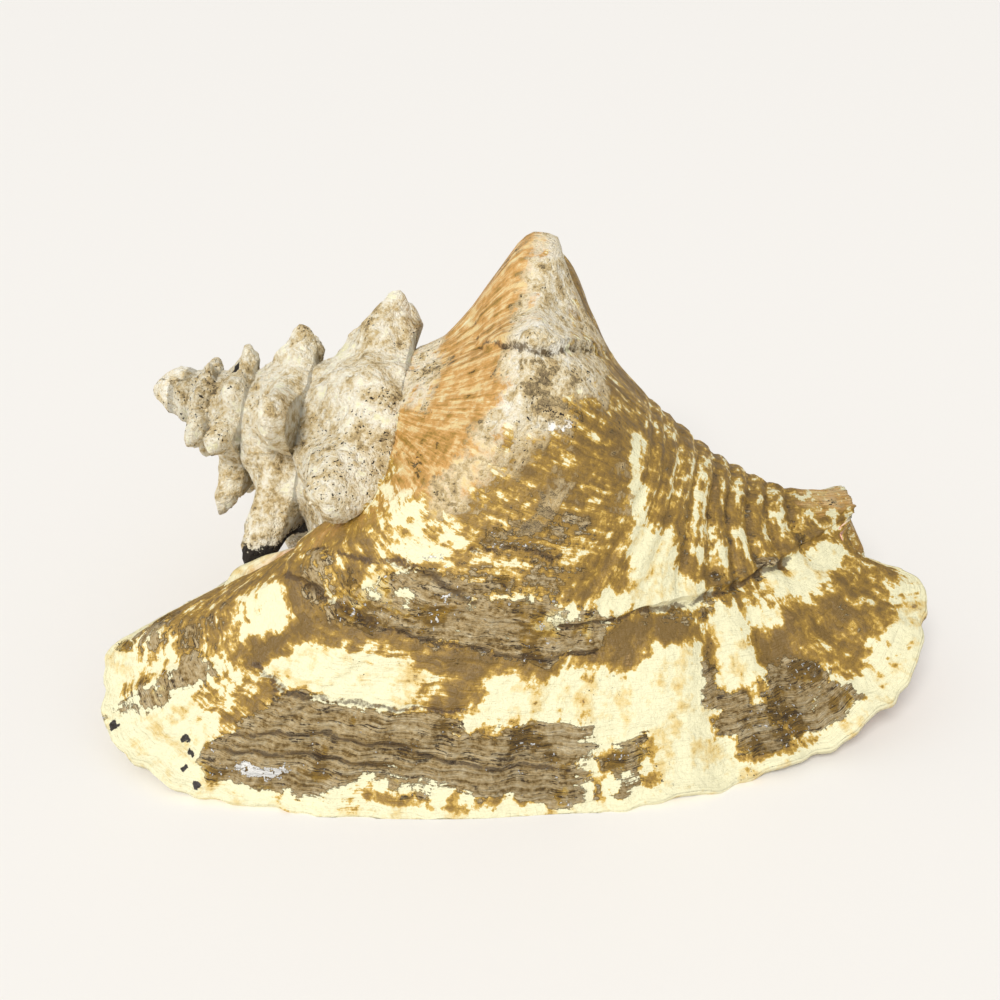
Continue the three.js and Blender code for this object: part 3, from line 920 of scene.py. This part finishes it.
@dataclass
class Lip:
    """The flared lip, from its overlap on the coil out to the margin."""

    shares: int = 236
    overlap_rows: int = 16
    before_rows: int = 40
    step_rows: int = 8
    after_rows: int = 56
    under_rows: int = 44

    def skin(self) -> Skin:
        """Makes the lip.

        Returns:
            Its closed surface.
        """
        skin = Skin()
        shares = np.linspace(0, 1, self.shares + 1)
        top = self.top(skin, shares)
        under = self.under(skin, shares)
        skin.sheet(top)
        skin.sheet(under[::-1])
        skin.strip(under[-1].tolist(), top[-1].tolist())
        skin.strip(top[0].tolist(), under[0].tolist())
        skin.strip(under[:, 0].tolist(), top[:, 0].tolist())
        skin.strip(top[:, -1].tolist(), under[:, -1].tolist())
        return skin

    def ways(self, shares: Array) -> Array:
        """Ways out of the top's rows, which crowd at the growth step.

        Args:
            shares: Shares of the columns.

        Returns:
            The ways: one line for each row of points, with one value for each share.
        """
        line = GROWTH.step_line.at(shares)[:, 0]
        overlap = np.linspace(-LIP_OVERLAP, 0, self.overlap_rows, endpoint=False) * WAY_PER_WHORL
        rows = [line * 0 + way for way in overlap]
        low, high = line - 1.3 * STEP_HALF, line + 1.3 * STEP_HALF
        rows += [mix(0, low, t) for t in np.linspace(0, 1, self.before_rows, endpoint=False)]
        rows += [mix(low, high, t) for t in np.linspace(0, 1, self.step_rows, endpoint=False)]
        rows += [mix(high, 1, t) for t in np.linspace(0, 1, self.after_rows + 1)]
        return np.array(rows)

    def base(self, way: Array, share: Array) -> tuple[Array, Array]:
        """Smooth surface, on the coil below way 0 and on the lip above.

        Args:
            way: 0 at the coil and 1 at the margin.
            share: 0 at the suture and 1 at the canal.

        Returns:
            The points and their outward directions.
        """
        growth = LIP_GROWTH + np.minimum(way, 0) / WAY_PER_WHORL
        on_coil = GROWTH.outside(growth, GROWTH.place_at(share))
        on_lip = GROWTH.lip(np.maximum(way, 0), share)
        normal = GROWTH.lip_normal(np.maximum(way, 0.01), share)
        return np.where((way < 0)[..., None], on_coil, on_lip), normal

    def top(self, skin: Skin, shares: Array) -> Array:
        """Adds the outside.

        Args:
            skin: What it is added to.
            shares: Shares of the columns.

        Returns:
            The points' numbers.
        """
        way = self.ways(shares)
        share = np.broadcast_to(shares, way.shape)
        point, normal = self.base(way, share)
        start = -LIP_OVERLAP * WAY_PER_WHORL
        rise = mix(-1.0, SEAM_LIFT, smooth(start, start + 0.04, way)) * (1 - smooth(0, 0.3, way))
        rise = rise + GROWTH.folds(way, share) + GROWTH.step_down(way, share)
        point = point + normal * rise[..., None]
        known = surface_values(point, way, share)
        return skin.add(point, np.stack([way, share], -1), **known)

    def under(self, skin: Skin, shares: Array) -> Array:
        """Adds the inside.

        Args:
            skin: What it is added to.
            shares: Shares of the columns.

        Returns:
            The points' numbers.
        """
        ways = np.linspace(-LIP_OVERLAP * WAY_PER_WHORL, 1, self.under_rows + 1)
        way, share = np.meshgrid(ways, shares, indexing="ij")
        point, normal = self.base(way, share)
        root = LIP_ROOT * (1 - CANAL_THINNING * smooth(0.7, 1, share))
        thickness = mix(root, LIP_EDGE, np.maximum(way, 0) ** LIP_THICKNESS_FALL)
        rise = GROWTH.folds(way, share) + GROWTH.step_down(way, share) * smooth(0.8, 1, way) - thickness
        point = point + normal * rise[..., None]
        inside = 1 - smooth(0.8, 0.99, way)
        return skin.add(point, np.stack([way, share], -1), cream=2.0, inside=inside)


@dataclass
class Mouth:
    """The hollow behind the lip."""

    depth: float = 0.56
    sections: int = 60
    points: int = 48
    wall: float = 10.5
    column_wall: float = 1.5
    column_share: float = 0.5
    start: float = 94.0
    ends: tuple[float, float] = (208.0, 165.0)

    def skin(self) -> Skin:
        """Makes the hollow.

        Returns:
            Its closed surface.
        """
        skin = Skin()
        rings = []
        for s in range(self.sections + 1):
            growth = LIP_GROWTH + 0.025 - self.depth * s / self.sections
            scale = WHORL_RATIO**growth
            end = mix(*self.ends, s / self.sections)
            along = np.linspace(self.start * scale, end, self.points + 1)
            near = self.radius_at(growth - 1, along) * self.column_share + self.column_wall
            wall = self.wall * (1 - CANAL_THINNING * smooth(150, 210, along)) * scale
            far = np.maximum(self.radius_at(growth, along) - wall, near + 1)
            turn = np.full_like(along, growth)
            outer = GROWTH.space(turn, along, far)
            inner = GROWTH.space(turn, along, near)[1:-1][::-1]
            ring = np.concatenate([outer, inner])
            rings.append(skin.add(ring, np.zeros((len(ring), 2)), cream=2.0, inside=1.0).tolist())
        grid = np.array([[*ring, ring[0]] for ring in rings])
        skin.sheet(grid.T)
        for ring, turned in ((grid[0], True), (grid[-1], False)):
            middle = np.concatenate(skin.points)[ring[:-1]].mean(0)
            centre = int(skin.add(middle[None], np.zeros((1, 2)), cream=2.0, inside=1.0)[0])
            skin.fan(centre, (ring[::-1] if turned else ring).tolist())
        return skin

    def radius_at(self, growth: float, along: Array) -> Array:
        """Radius of a whorl without its knobs.

        Args:
            growth: Whorls of growth.
            along: Distances along the axis.

        Returns:
            The radii.
        """
        places = np.linspace(OUTLINE[0][0], OUTLINE[-1][0], 200)
        reached, _ = GROWTH.plain(np.full_like(places, growth), places)
        place = np.interp(along, reached, places)
        return GROWTH.outline.at(place)[..., 0] * WHORL_RATIO**growth


def colour(code: str) -> tuple[float, float, float, float]:
    """Linear colour.

    Args:
        code: sRGB hex code such as "#C09A50".

    Returns:
        Red, green, blue and alpha.
    """
    parts = [int(code[i:i + 2], 16) / 255 for i in (1, 3, 5)]
    return (*(c / 12.92 if c <= 0.04045 else ((c + 0.055) / 1.055) ** 2.4 for c in parts), 1.0)


@dataclass(frozen=True)
class Nodes:
    """A node tree and the values found in it so far, by name."""

    tree: Tree
    found: dict[str, Socket] = field(default_factory=dict)

    def add(self, kind: str, inputs: dict | None = None, **settings: object) -> bpy.types.Node:
        """Adds a node.

        Args:
            kind: Blender's name of the node type.
            inputs: Value or output socket for each input, by name or number.
            settings: Properties of the node.

        Returns:
            The node.
        """
        node = self.tree.nodes.new(kind)
        for name, value in settings.items():
            setattr(node, name, value)
        for key, value in (inputs or {}).items():
            if isinstance(value, Socket):
                self.tree.links.new(value, node.inputs[key])
            else:
                node.inputs[key].default_value = value
        return node

    def maths(self, operation: str, *values: Socket | float) -> Socket:
        """Adds an operation on values.

        Args:
            operation: Blender's name of the operation.
            values: What it works on.

        Returns:
            The result.
        """
        return self.add("ShaderNodeMath", dict(enumerate(values)), operation=operation).outputs[0]

    def weighted(self, start: Socket | float, **weights: float) -> Socket:
        """Adds found values to a value, each times its weight.

        Args:
            start: The value.
            weights: Weight of each found value, by its name.

        Returns:
            The sum.
        """
        total = start
        for name, weight in weights.items():
            total = self.maths("MULTIPLY_ADD", self.found[name], weight, total)
        return total

    def noise(self, vector: Socket, scale: float, detail: float, roughness: float) -> Socket:
        """Adds noise.

        Args:
            vector: Where it is read.
            scale: Number of lumps in a unit of the vector.
            detail: Number of finer layers in it.
            roughness: How strong the finer layers are.

        Returns:
            Noise from -1 to 1.
        """
        inputs = {"Vector": vector, "Scale": scale, "Detail": detail, "Roughness": roughness}
        value = self.add("ShaderNodeTexNoise", inputs).outputs[0]
        inputs = {"Value": value, "From Min": 0.3, "From Max": 0.7, "To Min": -1.0, "To Max": 1.0}
        return self.add("ShaderNodeMapRange", inputs).outputs[0]

    def step(self, value: Socket, low: float, high: float, start: float = 0.0, end: float = 1.0) -> Socket:
        """Adds a smooth step of a value.

        Args:
            value: The value.
            low: Where the step starts.
            high: Where it ends.
            start: Result before it.
            end: Result after it.

        Returns:
            The result.
        """
        inputs = {"Value": value, "From Min": low, "From Max": high, "To Min": start, "To Max": end}
        return self.add("ShaderNodeMapRange", inputs, interpolation_type="SMOOTHSTEP").outputs[0]

    def ramp(self, value: Socket, *stops: tuple[float, str]) -> Socket:
        """Adds a colour that changes with a value.

        Args:
            value: The value.
            stops: Values and their hex codes, in rising order.

        Returns:
            The colour.
        """
        node = self.add("ShaderNodeValToRGB", {0: value})
        elements = node.color_ramp.elements
        while len(elements) < len(stops):
            elements.new(0.5)
        for element, (position, code) in zip(elements, stops):
            element.position = position
            element.color = colour(code)
        return node.outputs[0]

    def blend(self, share: Socket, first: Socket | str, second: Socket | str) -> Socket:
        """Adds a mix of two colours.

        Args:
            share: How much of the second there is.
            first: Colour or hex code.
            second: Colour or hex code.

        Returns:
            The colour.
        """
        first, second = (colour(c) if isinstance(c, str) else c for c in (first, second))
        inputs = {0: share, 6: first, 7: second}
        return self.add("ShaderNodeMix", inputs, data_type="RGBA").outputs[2]


@dataclass(frozen=True)
class ShellFinish:
    """Old queen conch shell, collected dead: bare cream shell under an ochre skin that the animal grew.

    The skin dried, darkened and flakes off along the growth lines. The spire was bored and
    bleached to chalk, and the inside was laid down as a thin smooth pink glaze.
    """

    # Shell is a dense limestone, so its index is near that of calcite; dried skin dulls it.
    index: float = 1.53
    gloss_roughness: float = 0.2
    bump_distance: float = 2.2 * MM
    cream: str = "#F1EAC0"
    cream_shade: str = "#E6CF90"
    gold: str = "#D0A84A"
    ochre: str = "#9E7A2C"
    ochre_deep: str = "#7A5E28"
    horn: str = "#B69C6C"
    horn_dark: str = "#554228"
    dust: str = "#D8C8A2"
    crack_shade_and_dirt: str = "#4E381C"
    chalk: str = "#ECDDB9"
    chalk_stain: str = "#CEB480"
    chalk_shade: str = "#96805C"
    chalk_light: str = "#FAF3E0"
    tan: str = "#D09C54"
    tan_light: str = "#E4C68A"
    pink: str = "#E9A98F"
    speck: str = "#2A2219"
    lime: str = "#F7F4EC"

    def material(self) -> bpy.types.Material:
        """Makes the shell's material.

        Returns:
            The material.
        """
        material = bpy.data.materials.new("conch")
        material.use_nodes = True
        material.node_tree.nodes.clear()
        nodes = Nodes(material.node_tree)
        self.find_masks(nodes)
        base, rough = self.colours(nodes)
        inputs = {"Strength": 1.0, "Distance": self.bump_distance, "Height": self.height(nodes)}
        bump = nodes.add("ShaderNodeBump", inputs)
        inputs = {"Base Color": base, "Roughness": rough, "IOR": self.index, "Normal": bump.outputs[0]}
        principled = nodes.add("ShaderNodeBsdfPrincipled", inputs)
        nodes.add("ShaderNodeOutputMaterial", {"Surface": principled.outputs[0]})
        return material

    def find_masks(self, nodes: Nodes) -> None:
        """Finds the noises and the amount of each layer.

        Args:
            nodes: The material's nodes.
        """
        place = nodes.add("ShaderNodeTexCoord").outputs["Object"]
        flow = nodes.add("ShaderNodeUVMap", uv_map="flow").outputs[0]
        found = nodes.found
        for name, (size, detail, roughness) in PLACE_NOISES.items():
            found[name] = nodes.noise(place, 1 / (size * MM), detail, roughness)
        for name, (per_way, per_share, detail, roughness) in FLOW_NOISES.items():
            inputs = {0: flow, 1: (per_way, per_share, 1.0)}
            scaled = nodes.add("ShaderNodeVectorMath", inputs, operation="MULTIPLY").outputs[0]
            found[name] = nodes.noise(scaled, 1.0, detail, roughness)
        # Streaks follow the growth lines near the suture and the cords near the canal.
        share = nodes.add("ShaderNodeSeparateXYZ", {0: flow}).outputs[1]
        inputs = {0: nodes.step(share, 0.44, 0.56), 2: found["lines"], 3: found["rays"]}
        found["streaks"] = nodes.add("ShaderNodeMix", inputs).outputs[0]
        for name in (*(layer.value for layer in Layer), "inside", "crack", "dark"):
            found[name] = nodes.add("ShaderNodeAttribute", attribute_name=name).outputs["Fac"]

    def colours(self, nodes: Nodes) -> tuple[Socket, Socket]:
        """Lays the layers one on another.

        Args:
            nodes: The material's nodes, with all masks found.

        Returns:
            Base colour and roughness.
        """
        found = nodes.found
        base = nodes.ramp(
            nodes.weighted(0.5, spots=0.3, marks=0.2, streaks=0.2),
            (0.5, self.cream), (0.72, self.cream_shade), (1.0, self.gold),
        )
        base, skin = self.skinned(nodes, base)
        base = self.flaking(nodes, base, skin)
        base = self.worn(nodes, base)
        base = self.speckled(nodes, base)
        base = nodes.blend(found["inside"], base, self.pink)
        rough = nodes.step(nodes.weighted(found["horn_here"], chalk_here=1.0), 0.0, 1.0, 0.5, 0.9)
        inputs = {0: found["inside"], 2: rough, 3: self.gloss_roughness}
        return base, nodes.add("ShaderNodeMix", inputs).outputs[0]

    def skinned(self, nodes: Nodes, base: Socket) -> tuple[Socket, Socket]:
        """Lays the ochre skin on, thin and golden at its borders, and the tan one near the suture.

        Args:
            nodes: The material's nodes.
            base: Colour below.

        Returns:
            The colour, and that of the ochre skin alone.
        """
        found = nodes.found
        ochre = nodes.weighted(found["ochre"], cream=-1.0, streaks=0.42, spots=0.26, marks=0.36, fine=0.1)
        skin = nodes.ramp(
            ochre,
            (0.14, self.cream_shade), (0.26, self.gold), (0.42, self.ochre), (0.85, self.ochre_deep),
        )
        base = nodes.blend(nodes.step(ochre, 0.12, 0.2), base, skin)
        warm = nodes.weighted(found["tan"], spots=0.25, marks=0.2, streaks=0.2)
        warm_skin = nodes.ramp(
            nodes.weighted(0.5, lines=0.36, marks=0.22),
            (0.1, self.cream_shade), (0.32, self.tan_light), (0.52, self.tan),
            (0.8, self.ochre), (1.0, self.ochre_deep),
        )
        return nodes.blend(nodes.step(warm, 0.25, 0.65), base, warm_skin), skin

    def flaking(self, nodes: Nodes, base: Socket, skin: Socket) -> Socket:
        """Lays on the dark skin that flakes along the growth lines, and crust caught in it.

        Args:
            nodes: The material's nodes; gets horn_here, edges and crust_here.
            base: Colour below.
            skin: Colour of the ochre skin, which shows where the dark one is thin.

        Returns:
            The colour.
        """
        found = nodes.found
        horn = nodes.weighted(found["horn"], cream=-0.5, lines=0.22, spots=0.24, marks=0.22, fine=0.08)
        here = nodes.step(horn, 0.34, 0.42)
        found["horn_here"] = here
        flaky = nodes.ramp(
            nodes.weighted(0.5, fibres=0.3, fine=0.2, marks=0.16),
            (0.0, self.horn_dark), (0.25, self.ochre_deep), (0.5, self.horn), (0.98, self.dust),
        )
        thin = nodes.step(nodes.weighted(found["spots"], broad=0.5, streaks=0.4), 0.2, 0.7)
        base = nodes.blend(here, base, nodes.blend(thin, flaky, skin))
        edge = nodes.maths("ABSOLUTE", found["splits"])
        edge = nodes.step(nodes.weighted(edge, fine=0.06), 0.01, 0.07, 1.0, 0.0)
        broken = nodes.step(nodes.weighted(found["spots"], marks=0.5), -0.25, 0.2)
        found["edges"] = nodes.maths("MULTIPLY", nodes.maths("MULTIPLY", edge, here), broken)
        base = nodes.blend(found["edges"], base, self.horn_dark)
        crust = nodes.step(nodes.weighted(found["flecks"], spots=0.35, broad=0.2, crust=1.6), 0.86, 1.05)
        caught = nodes.step(nodes.weighted(here, crust=2.0), 0.3, 0.7)
        found["crust_here"] = nodes.maths("MULTIPLY", crust, caught)
        return nodes.blend(found["crust_here"], base, self.lime)

    def worn(self, nodes: Nodes, base: Socket) -> Socket:
        """Lays on the chalky surface, which is greyer where dark skin was and where painted shade lies
        below the crest.

        Args:
            nodes: The material's nodes; gets chalk_here.
            base: Colour below.

        Returns:
            The colour.
        """
        found = nodes.found
        chalk = nodes.weighted(found["chalk"], spots=0.3, marks=0.24, rays=0.06, fine=0.08)
        found["chalk_here"] = nodes.step(chalk, 0.3, 0.6)
        worn = nodes.ramp(
            nodes.weighted(0.45, spots=0.32, marks=0.28, fine=0.18, horn=0.8),
            (0.2, self.chalk_light), (0.48, self.chalk), (0.7, self.chalk_stain), (1.0, self.chalk_shade),
        )
        return nodes.blend(found["chalk_here"], base, worn)

    def speckled(self, nodes: Nodes, base: Socket) -> Socket:
        """Lays on borings, specks of dark growth, and the dark colour of the cracks: dirt in them and
        painted shade in crevices, under the growth step's ledge, under the crest and in the grooves
        between the cords.

        Args:
            nodes: The material's nodes; gets specks.
            base: Colour below.

        Returns:
            The colour.
        """
        found = nodes.found
        bored = nodes.weighted(found["pits"], chalk_here=0.2, broad=0.25, spots=0.2, horn_here=-0.5)
        found["specks"] = nodes.step(bored, 1.16, 1.3)
        base = nodes.blend(found["specks"], base, self.speck)
        # Dark crack lines: dirt in the cracks and painted shade in crevices and under ledges.
        crack = nodes.weighted(found["crack"], fine=0.25, marks=0.2)
        base = nodes.blend(nodes.step(crack, 0.45, 0.95, 0.0, 0.8), base, self.crack_shade_and_dirt)
        dark = nodes.weighted(found["dark"], fine=0.2, marks=0.1)
        return nodes.blend(nodes.step(dark, 0.4, 0.6), base, self.speck)

    def height(self, nodes: Nodes) -> Socket:
        """Finds the fine height for the bump.

        Args:
            nodes: The material's nodes, with what the layers found.

        Returns:
            The height, in units of the bump's distance.
        """
        found = nodes.found
        found["flaked"] = nodes.maths("MULTIPLY", found["fibres"], found["horn_here"])
        found["pitted"] = nodes.maths("MULTIPLY", found["fine"], found["chalk_here"])
        found["lumpy"] = nodes.maths("MULTIPLY", found["marks"], found["chalk_here"])
        total = nodes.weighted(
            0.0, flaked=0.3, pitted=0.08, lines=0.08, fine=0.03, marks=0.1,
            specks=-0.25, horn_here=0.25, edges=-0.4, crust_here=0.25, lumpy=0.12,
        )
        outside = nodes.maths("SUBTRACT", 1.0, found["inside"])
        return nodes.maths("MULTIPLY", total, outside)


@dataclass
class Weathering:
    """Geometry Nodes that raise the growth relief, make worn parts lumpy and scatter crumbs of crust."""

    lump_height: float = 9.0 * MM
    lump_size: float = 12.0 * MM
    crumbs_per_m2: float = 26000.0
    crumb_size: float = 0.55 * MM
    seed: int = 7

    def tree(self) -> Tree:
        """Makes the node tree.

        Returns:
            The tree.
        """
        tree = bpy.data.node_groups.new("weathering", "GeometryNodeTree")
        face = tree.interface
        face.new_socket("Geometry", in_out="INPUT", socket_type="NodeSocketGeometry")
        for name in ("Lump Height", "Lump Size", "Crumb Density", "Crumb Size"):
            face.new_socket(name, in_out="INPUT", socket_type="NodeSocketFloat")
        face.new_socket("Seed", in_out="INPUT", socket_type="NodeSocketInt")
        face.new_socket("Material", in_out="INPUT", socket_type="NodeSocketMaterial")
        face.new_socket("Geometry", in_out="OUTPUT", socket_type="NodeSocketGeometry")
        nodes = Nodes(tree)
        given = nodes.add("NodeGroupInput").outputs
        for name in ("worn", "inside", "relief", "chalk"):
            named = nodes.add("GeometryNodeInputNamedAttribute", {"Name": name}, data_type="FLOAT")
            nodes.found[name] = named.outputs[0]
        raised = self.raised(nodes, given)
        crumbs = self.crumbs(nodes, given, raised)
        joined = nodes.add("GeometryNodeJoinGeometry", {0: raised})
        tree.links.new(crumbs, joined.inputs[0])
        real = nodes.add("GeometryNodeRealizeInstances", {0: joined.outputs[0]})
        made = nodes.add("GeometryNodeSetMaterial", {0: real.outputs[0], "Material": given["Material"]})
        nodes.add("NodeGroupOutput", {0: made.outputs[0]})
        return tree

    def raised(self, nodes: Nodes, given: bpy.types.NodeOutputs) -> Socket:
        """Pushes the surface out by its relief, less so near the ground it lies on.

        Args:
            nodes: The tree's nodes.
            given: Values that the tree is given.

        Returns:
            The surface.
        """
        found = nodes.found
        place = nodes.add("GeometryNodeInputPosition").outputs[0]
        normal = nodes.add("GeometryNodeInputNormal").outputs[0]
        scale = nodes.maths("DIVIDE", 1.0, given["Lump Size"])
        inputs = {"Vector": place, "Scale": scale, "Detail": 4.0, "Roughness": 0.6}
        lump = nodes.add("ShaderNodeTexNoise", inputs).outputs[0]
        lump = nodes.maths("SUBTRACT", lump, 0.5)
        lump = nodes.maths("MULTIPLY", lump, given["Lump Height"])
        worn = nodes.maths("MULTIPLY_ADD", found["worn"], 0.9, 0.14)
        outside = nodes.maths("SUBTRACT", 1.0, found["inside"])
        lump = nodes.maths("MULTIPLY", nodes.maths("MULTIPLY", lump, worn), outside)
        push = nodes.maths("MULTIPLY_ADD", found["relief"], MM, lump)
        height = nodes.add("ShaderNodeSeparateXYZ", {0: place}).outputs[2]
        inputs = {"Value": height, "From Min": 0.1 * MM, "From Max": 3 * MM}
        clear = nodes.add("ShaderNodeMapRange", inputs).outputs[0]
        inputs = {0: normal, "Scale": nodes.maths("MULTIPLY", push, clear)}
        offset = nodes.add("ShaderNodeVectorMath", inputs, operation="SCALE").outputs[0]
        inputs = {"Geometry": given["Geometry"], "Offset": offset}
        return nodes.add("GeometryNodeSetPosition", inputs).outputs[0]

    def crumbs(self, nodes: Nodes, given: bpy.types.NodeOutputs, surface: Socket) -> Socket:
        """Scatters crumbs of crust where the surface is chalky.

        Args:
            nodes: The tree's nodes.
            given: Values that the tree is given.
            surface: What they lie on.

        Returns:
            The crumbs.
        """
        inputs = {"Value": nodes.found["chalk"], "From Min": 0.55, "From Max": 1.0}
        much = nodes.add("ShaderNodeMapRange", inputs).outputs[0]
        density = nodes.maths("MULTIPLY", much, given["Crumb Density"])
        inputs = {"Mesh": surface, "Density": density, "Seed": given["Seed"]}
        spread = nodes.add("GeometryNodeDistributePointsOnFaces", inputs).outputs
        ball = nodes.add("GeometryNodeMeshIcoSphere", {"Radius": given["Crumb Size"], "Subdivisions": 1})
        inputs = {2: 0.4, 3: 1.3, "Seed": given["Seed"]}
        size = nodes.add("FunctionNodeRandomValue", inputs, data_type="FLOAT").outputs[1]
        inputs = {
            "Points": spread["Points"], "Instance": ball.outputs["Mesh"],
            "Rotation": spread["Rotation"], "Scale": size,
        }
        return nodes.add("GeometryNodeInstanceOnPoints", inputs).outputs[0]

    def apply(self, item: bpy.types.Object, material: bpy.types.Material) -> bpy.types.Object:
        """Runs the nodes on an object.

        Args:
            item: Object with the shell's surface; it is removed.
            material: Material for the result.

        Returns:
            New object with the weathered mesh and no modifier.
        """
        tree = self.tree()
        modifier = item.modifiers.new("weathering", "NODES")
        modifier.node_group = tree
        values = {
            "Lump Height": self.lump_height, "Lump Size": self.lump_size,
            "Crumb Density": self.crumbs_per_m2, "Crumb Size": self.crumb_size,
            "Seed": self.seed, "Material": material,
        }
        for socket in tree.interface.items_tree:
            if socket.in_out == "INPUT" and socket.name in values:
                modifier[socket.identifier] = values[socket.name]
        return evaluated(item, "queen_conch")


def placed(mesh: bpy.types.Mesh, name: str) -> bpy.types.Object:
    """Puts a mesh in the scene.

    Args:
        mesh: The mesh.
        name: Name of the new object.

    Returns:
        The object.
    """
    item = bpy.data.objects.new(name, mesh)
    bpy.context.scene.collection.objects.link(item)
    return item


def evaluated(item: bpy.types.Object, name: str) -> bpy.types.Object:
    """Applies the modifiers of an object.

    Args:
        item: The object; it is removed.
        name: Name of the new object and its mesh.

    Returns:
        New object with the resulting mesh.
    """
    bpy.context.view_layer.update()
    graph = bpy.context.evaluated_depsgraph_get()
    source = item.evaluated_get(graph)
    mesh = bpy.data.meshes.new_from_object(source, preserve_all_data_layers=True, depsgraph=graph)
    mesh.name = name
    bpy.data.objects.remove(item)
    return placed(mesh, name)


def mend(mesh: bpy.types.Mesh) -> None:
    """Gives the points that a cut made the mean of what is known at their neighbours.

    Args:
        mesh: Mesh with the attributes of a skin.
    """
    count = len(mesh.vertices)
    known = np.zeros(count, np.float32)
    mesh.attributes["made"].data.foreach_get("value", known)
    edges = np.zeros(len(mesh.edges) * 2, np.int32)
    mesh.edges.foreach_get("vertices", edges)
    first, second = edges.reshape(-1, 2).T
    sure = known > 0.5
    weight = np.bincount(first, sure[second], count) + np.bincount(second, sure[first], count)
    for name in Skin.names:
        attribute = mesh.attributes[name].data
        value = np.zeros(count, np.float32)
        attribute.foreach_get("value", value)
        total = np.bincount(first, value[second] * sure[second], count)
        total += np.bincount(second, value[first] * sure[first], count)
        value = np.where(sure | (weight == 0), value, total / np.maximum(weight, 1))
        attribute.foreach_set("value", value.astype(np.float32))


@dataclass
class Conch:
    """The whole shell as one piece."""

    coil: Coil = field(default_factory=Coil)
    lip: Lip = field(default_factory=Lip)
    mouth: Mouth = field(default_factory=Mouth)
    weathering: Weathering = field(default_factory=Weathering)
    finish: ShellFinish = field(default_factory=ShellFinish)

    def build(self) -> bpy.types.Object:
        """Makes the shell and puts it in the place of its CAD part.

        Returns:
            The shell.
        """
        body = self.coil.skin().item("coil")
        lip = self.lip.skin().item("lip")
        mouth = self.mouth.skin().item("mouth")
        ground = self.ground()
        for tool, operation in ((lip, "UNION"), (mouth, "DIFFERENCE"), (ground, "DIFFERENCE")):
            body = self.combined(body, tool, operation)
            mend(body.data)
        body.data.polygons.foreach_set("use_smooth", np.ones(len(body.data.polygons), bool))
        shell = self.weathering.apply(body, self.finish.material())
        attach(shell, "root")
        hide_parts("conch_shell")
        return shell

    def ground(self) -> bpy.types.Object:
        """Makes a block below the ground, which the resting faces are cut by.

        Returns:
            The block.
        """
        skin = Skin()
        sides = ((-200, -200), (200, -200), (200, 200), (-200, 200))
        corners = np.array([[x, y, z] for z in (-60, 0) for x, y in sides])
        skin.add(corners, np.zeros((8, 2)))
        skin.faces.extend([[3, 2, 1, 0], [4, 5, 6, 7]])
        skin.faces.extend([i, (i + 1) % 4, (i + 1) % 4 + 4, i + 4] for i in range(4))
        return skin.item("ground")

    def combined(self, body: bpy.types.Object, tool: bpy.types.Object, operation: str) -> bpy.types.Object:
        """Joins or cuts the body with a tool.

        Args:
            body: The body; it is removed.
            tool: The tool; it is removed.
            operation: Blender's name of what is done.

        Returns:
            The new body.
        """
        modifier = body.modifiers.new("cut", "BOOLEAN")
        modifier.operation = operation
        modifier.solver = "MANIFOLD"
        modifier.object = tool
        made = evaluated(body, "shell")
        bpy.data.objects.remove(tool)
        return made


@dataclass
class Stage:
    """Floor, lights and camera. Angles are in degrees."""

    floor_size: float = 6.0
    floor_colour: str = "#F1EDE6"
    floor_roughness: float = 0.7
    air_colour: str = "#F4F5F8"
    air_strength: float = 0.62
    sun_strength: float = 2.2
    sun_width: float = 24.0
    sun_pitch: float = 42.0
    sun_yaw: float = -25.0
    lens: float = 37.8
    sensor: float = 36.0
    camera_place: tuple[float, float, float] = (0.0, -281.3, 212.0)
    camera_pitch: float = 30.0

    def build(self) -> None:
        """Makes the stage."""
        self.floor()
        self.lights()
        self.camera()

    def floor(self) -> None:
        """Makes the pale matt floor."""
        bpy.ops.mesh.primitive_plane_add(size=self.floor_size)
        floor = bpy.context.object
        floor.name = "floor"
        material = bpy.data.materials.new("floor")
        material.use_nodes = True
        principled = material.node_tree.nodes["Principled BSDF"]
        principled.inputs["Base Color"].default_value = colour(self.floor_colour)
        principled.inputs["Roughness"].default_value = self.floor_roughness
        floor.data.materials.append(material)

    def lights(self) -> None:
        """Makes the soft light from above and the front, and pale surroundings."""
        world = bpy.data.worlds.new("studio")
        bpy.context.scene.world = world
        world.use_nodes = True
        background = world.node_tree.nodes["Background"]
        background.inputs[0].default_value = colour(self.air_colour)
        background.inputs[1].default_value = self.air_strength
        light = bpy.data.lights.new("key", "SUN")
        light.energy = self.sun_strength
        light.angle = math.radians(self.sun_width)
        lamp = bpy.data.objects.new("key", light)
        lamp.rotation_euler = (math.radians(self.sun_pitch), 0, math.radians(self.sun_yaw))
        bpy.context.scene.collection.objects.link(lamp)

    def camera(self) -> None:
        """Makes the camera, in front of the lip and above it."""
        data = bpy.data.cameras.new("camera")
        data.lens = self.lens
        data.sensor_width = self.sensor
        data.clip_start = 0.01
        camera = bpy.data.objects.new("camera", data)
        place = np.array(self.camera_place) - (*CENTRE, 0)
        camera.location = place * MM
        camera.rotation_euler = (math.radians(90 - self.camera_pitch), 0, 0)
        bpy.context.scene.collection.objects.link(camera)
        bpy.context.scene.camera = camera
        bpy.context.scene.view_settings.view_transform = "Standard"


def main() -> None:
    """Builds the shell on its stage."""
    logging.basicConfig(level=logging.INFO, format="%(message)s")
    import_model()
    shell = Conch().build()
    LOG.info("shell: %d faces", len(shell.data.polygons))
    Stage().build()


if __name__ == "__main__":
    main()
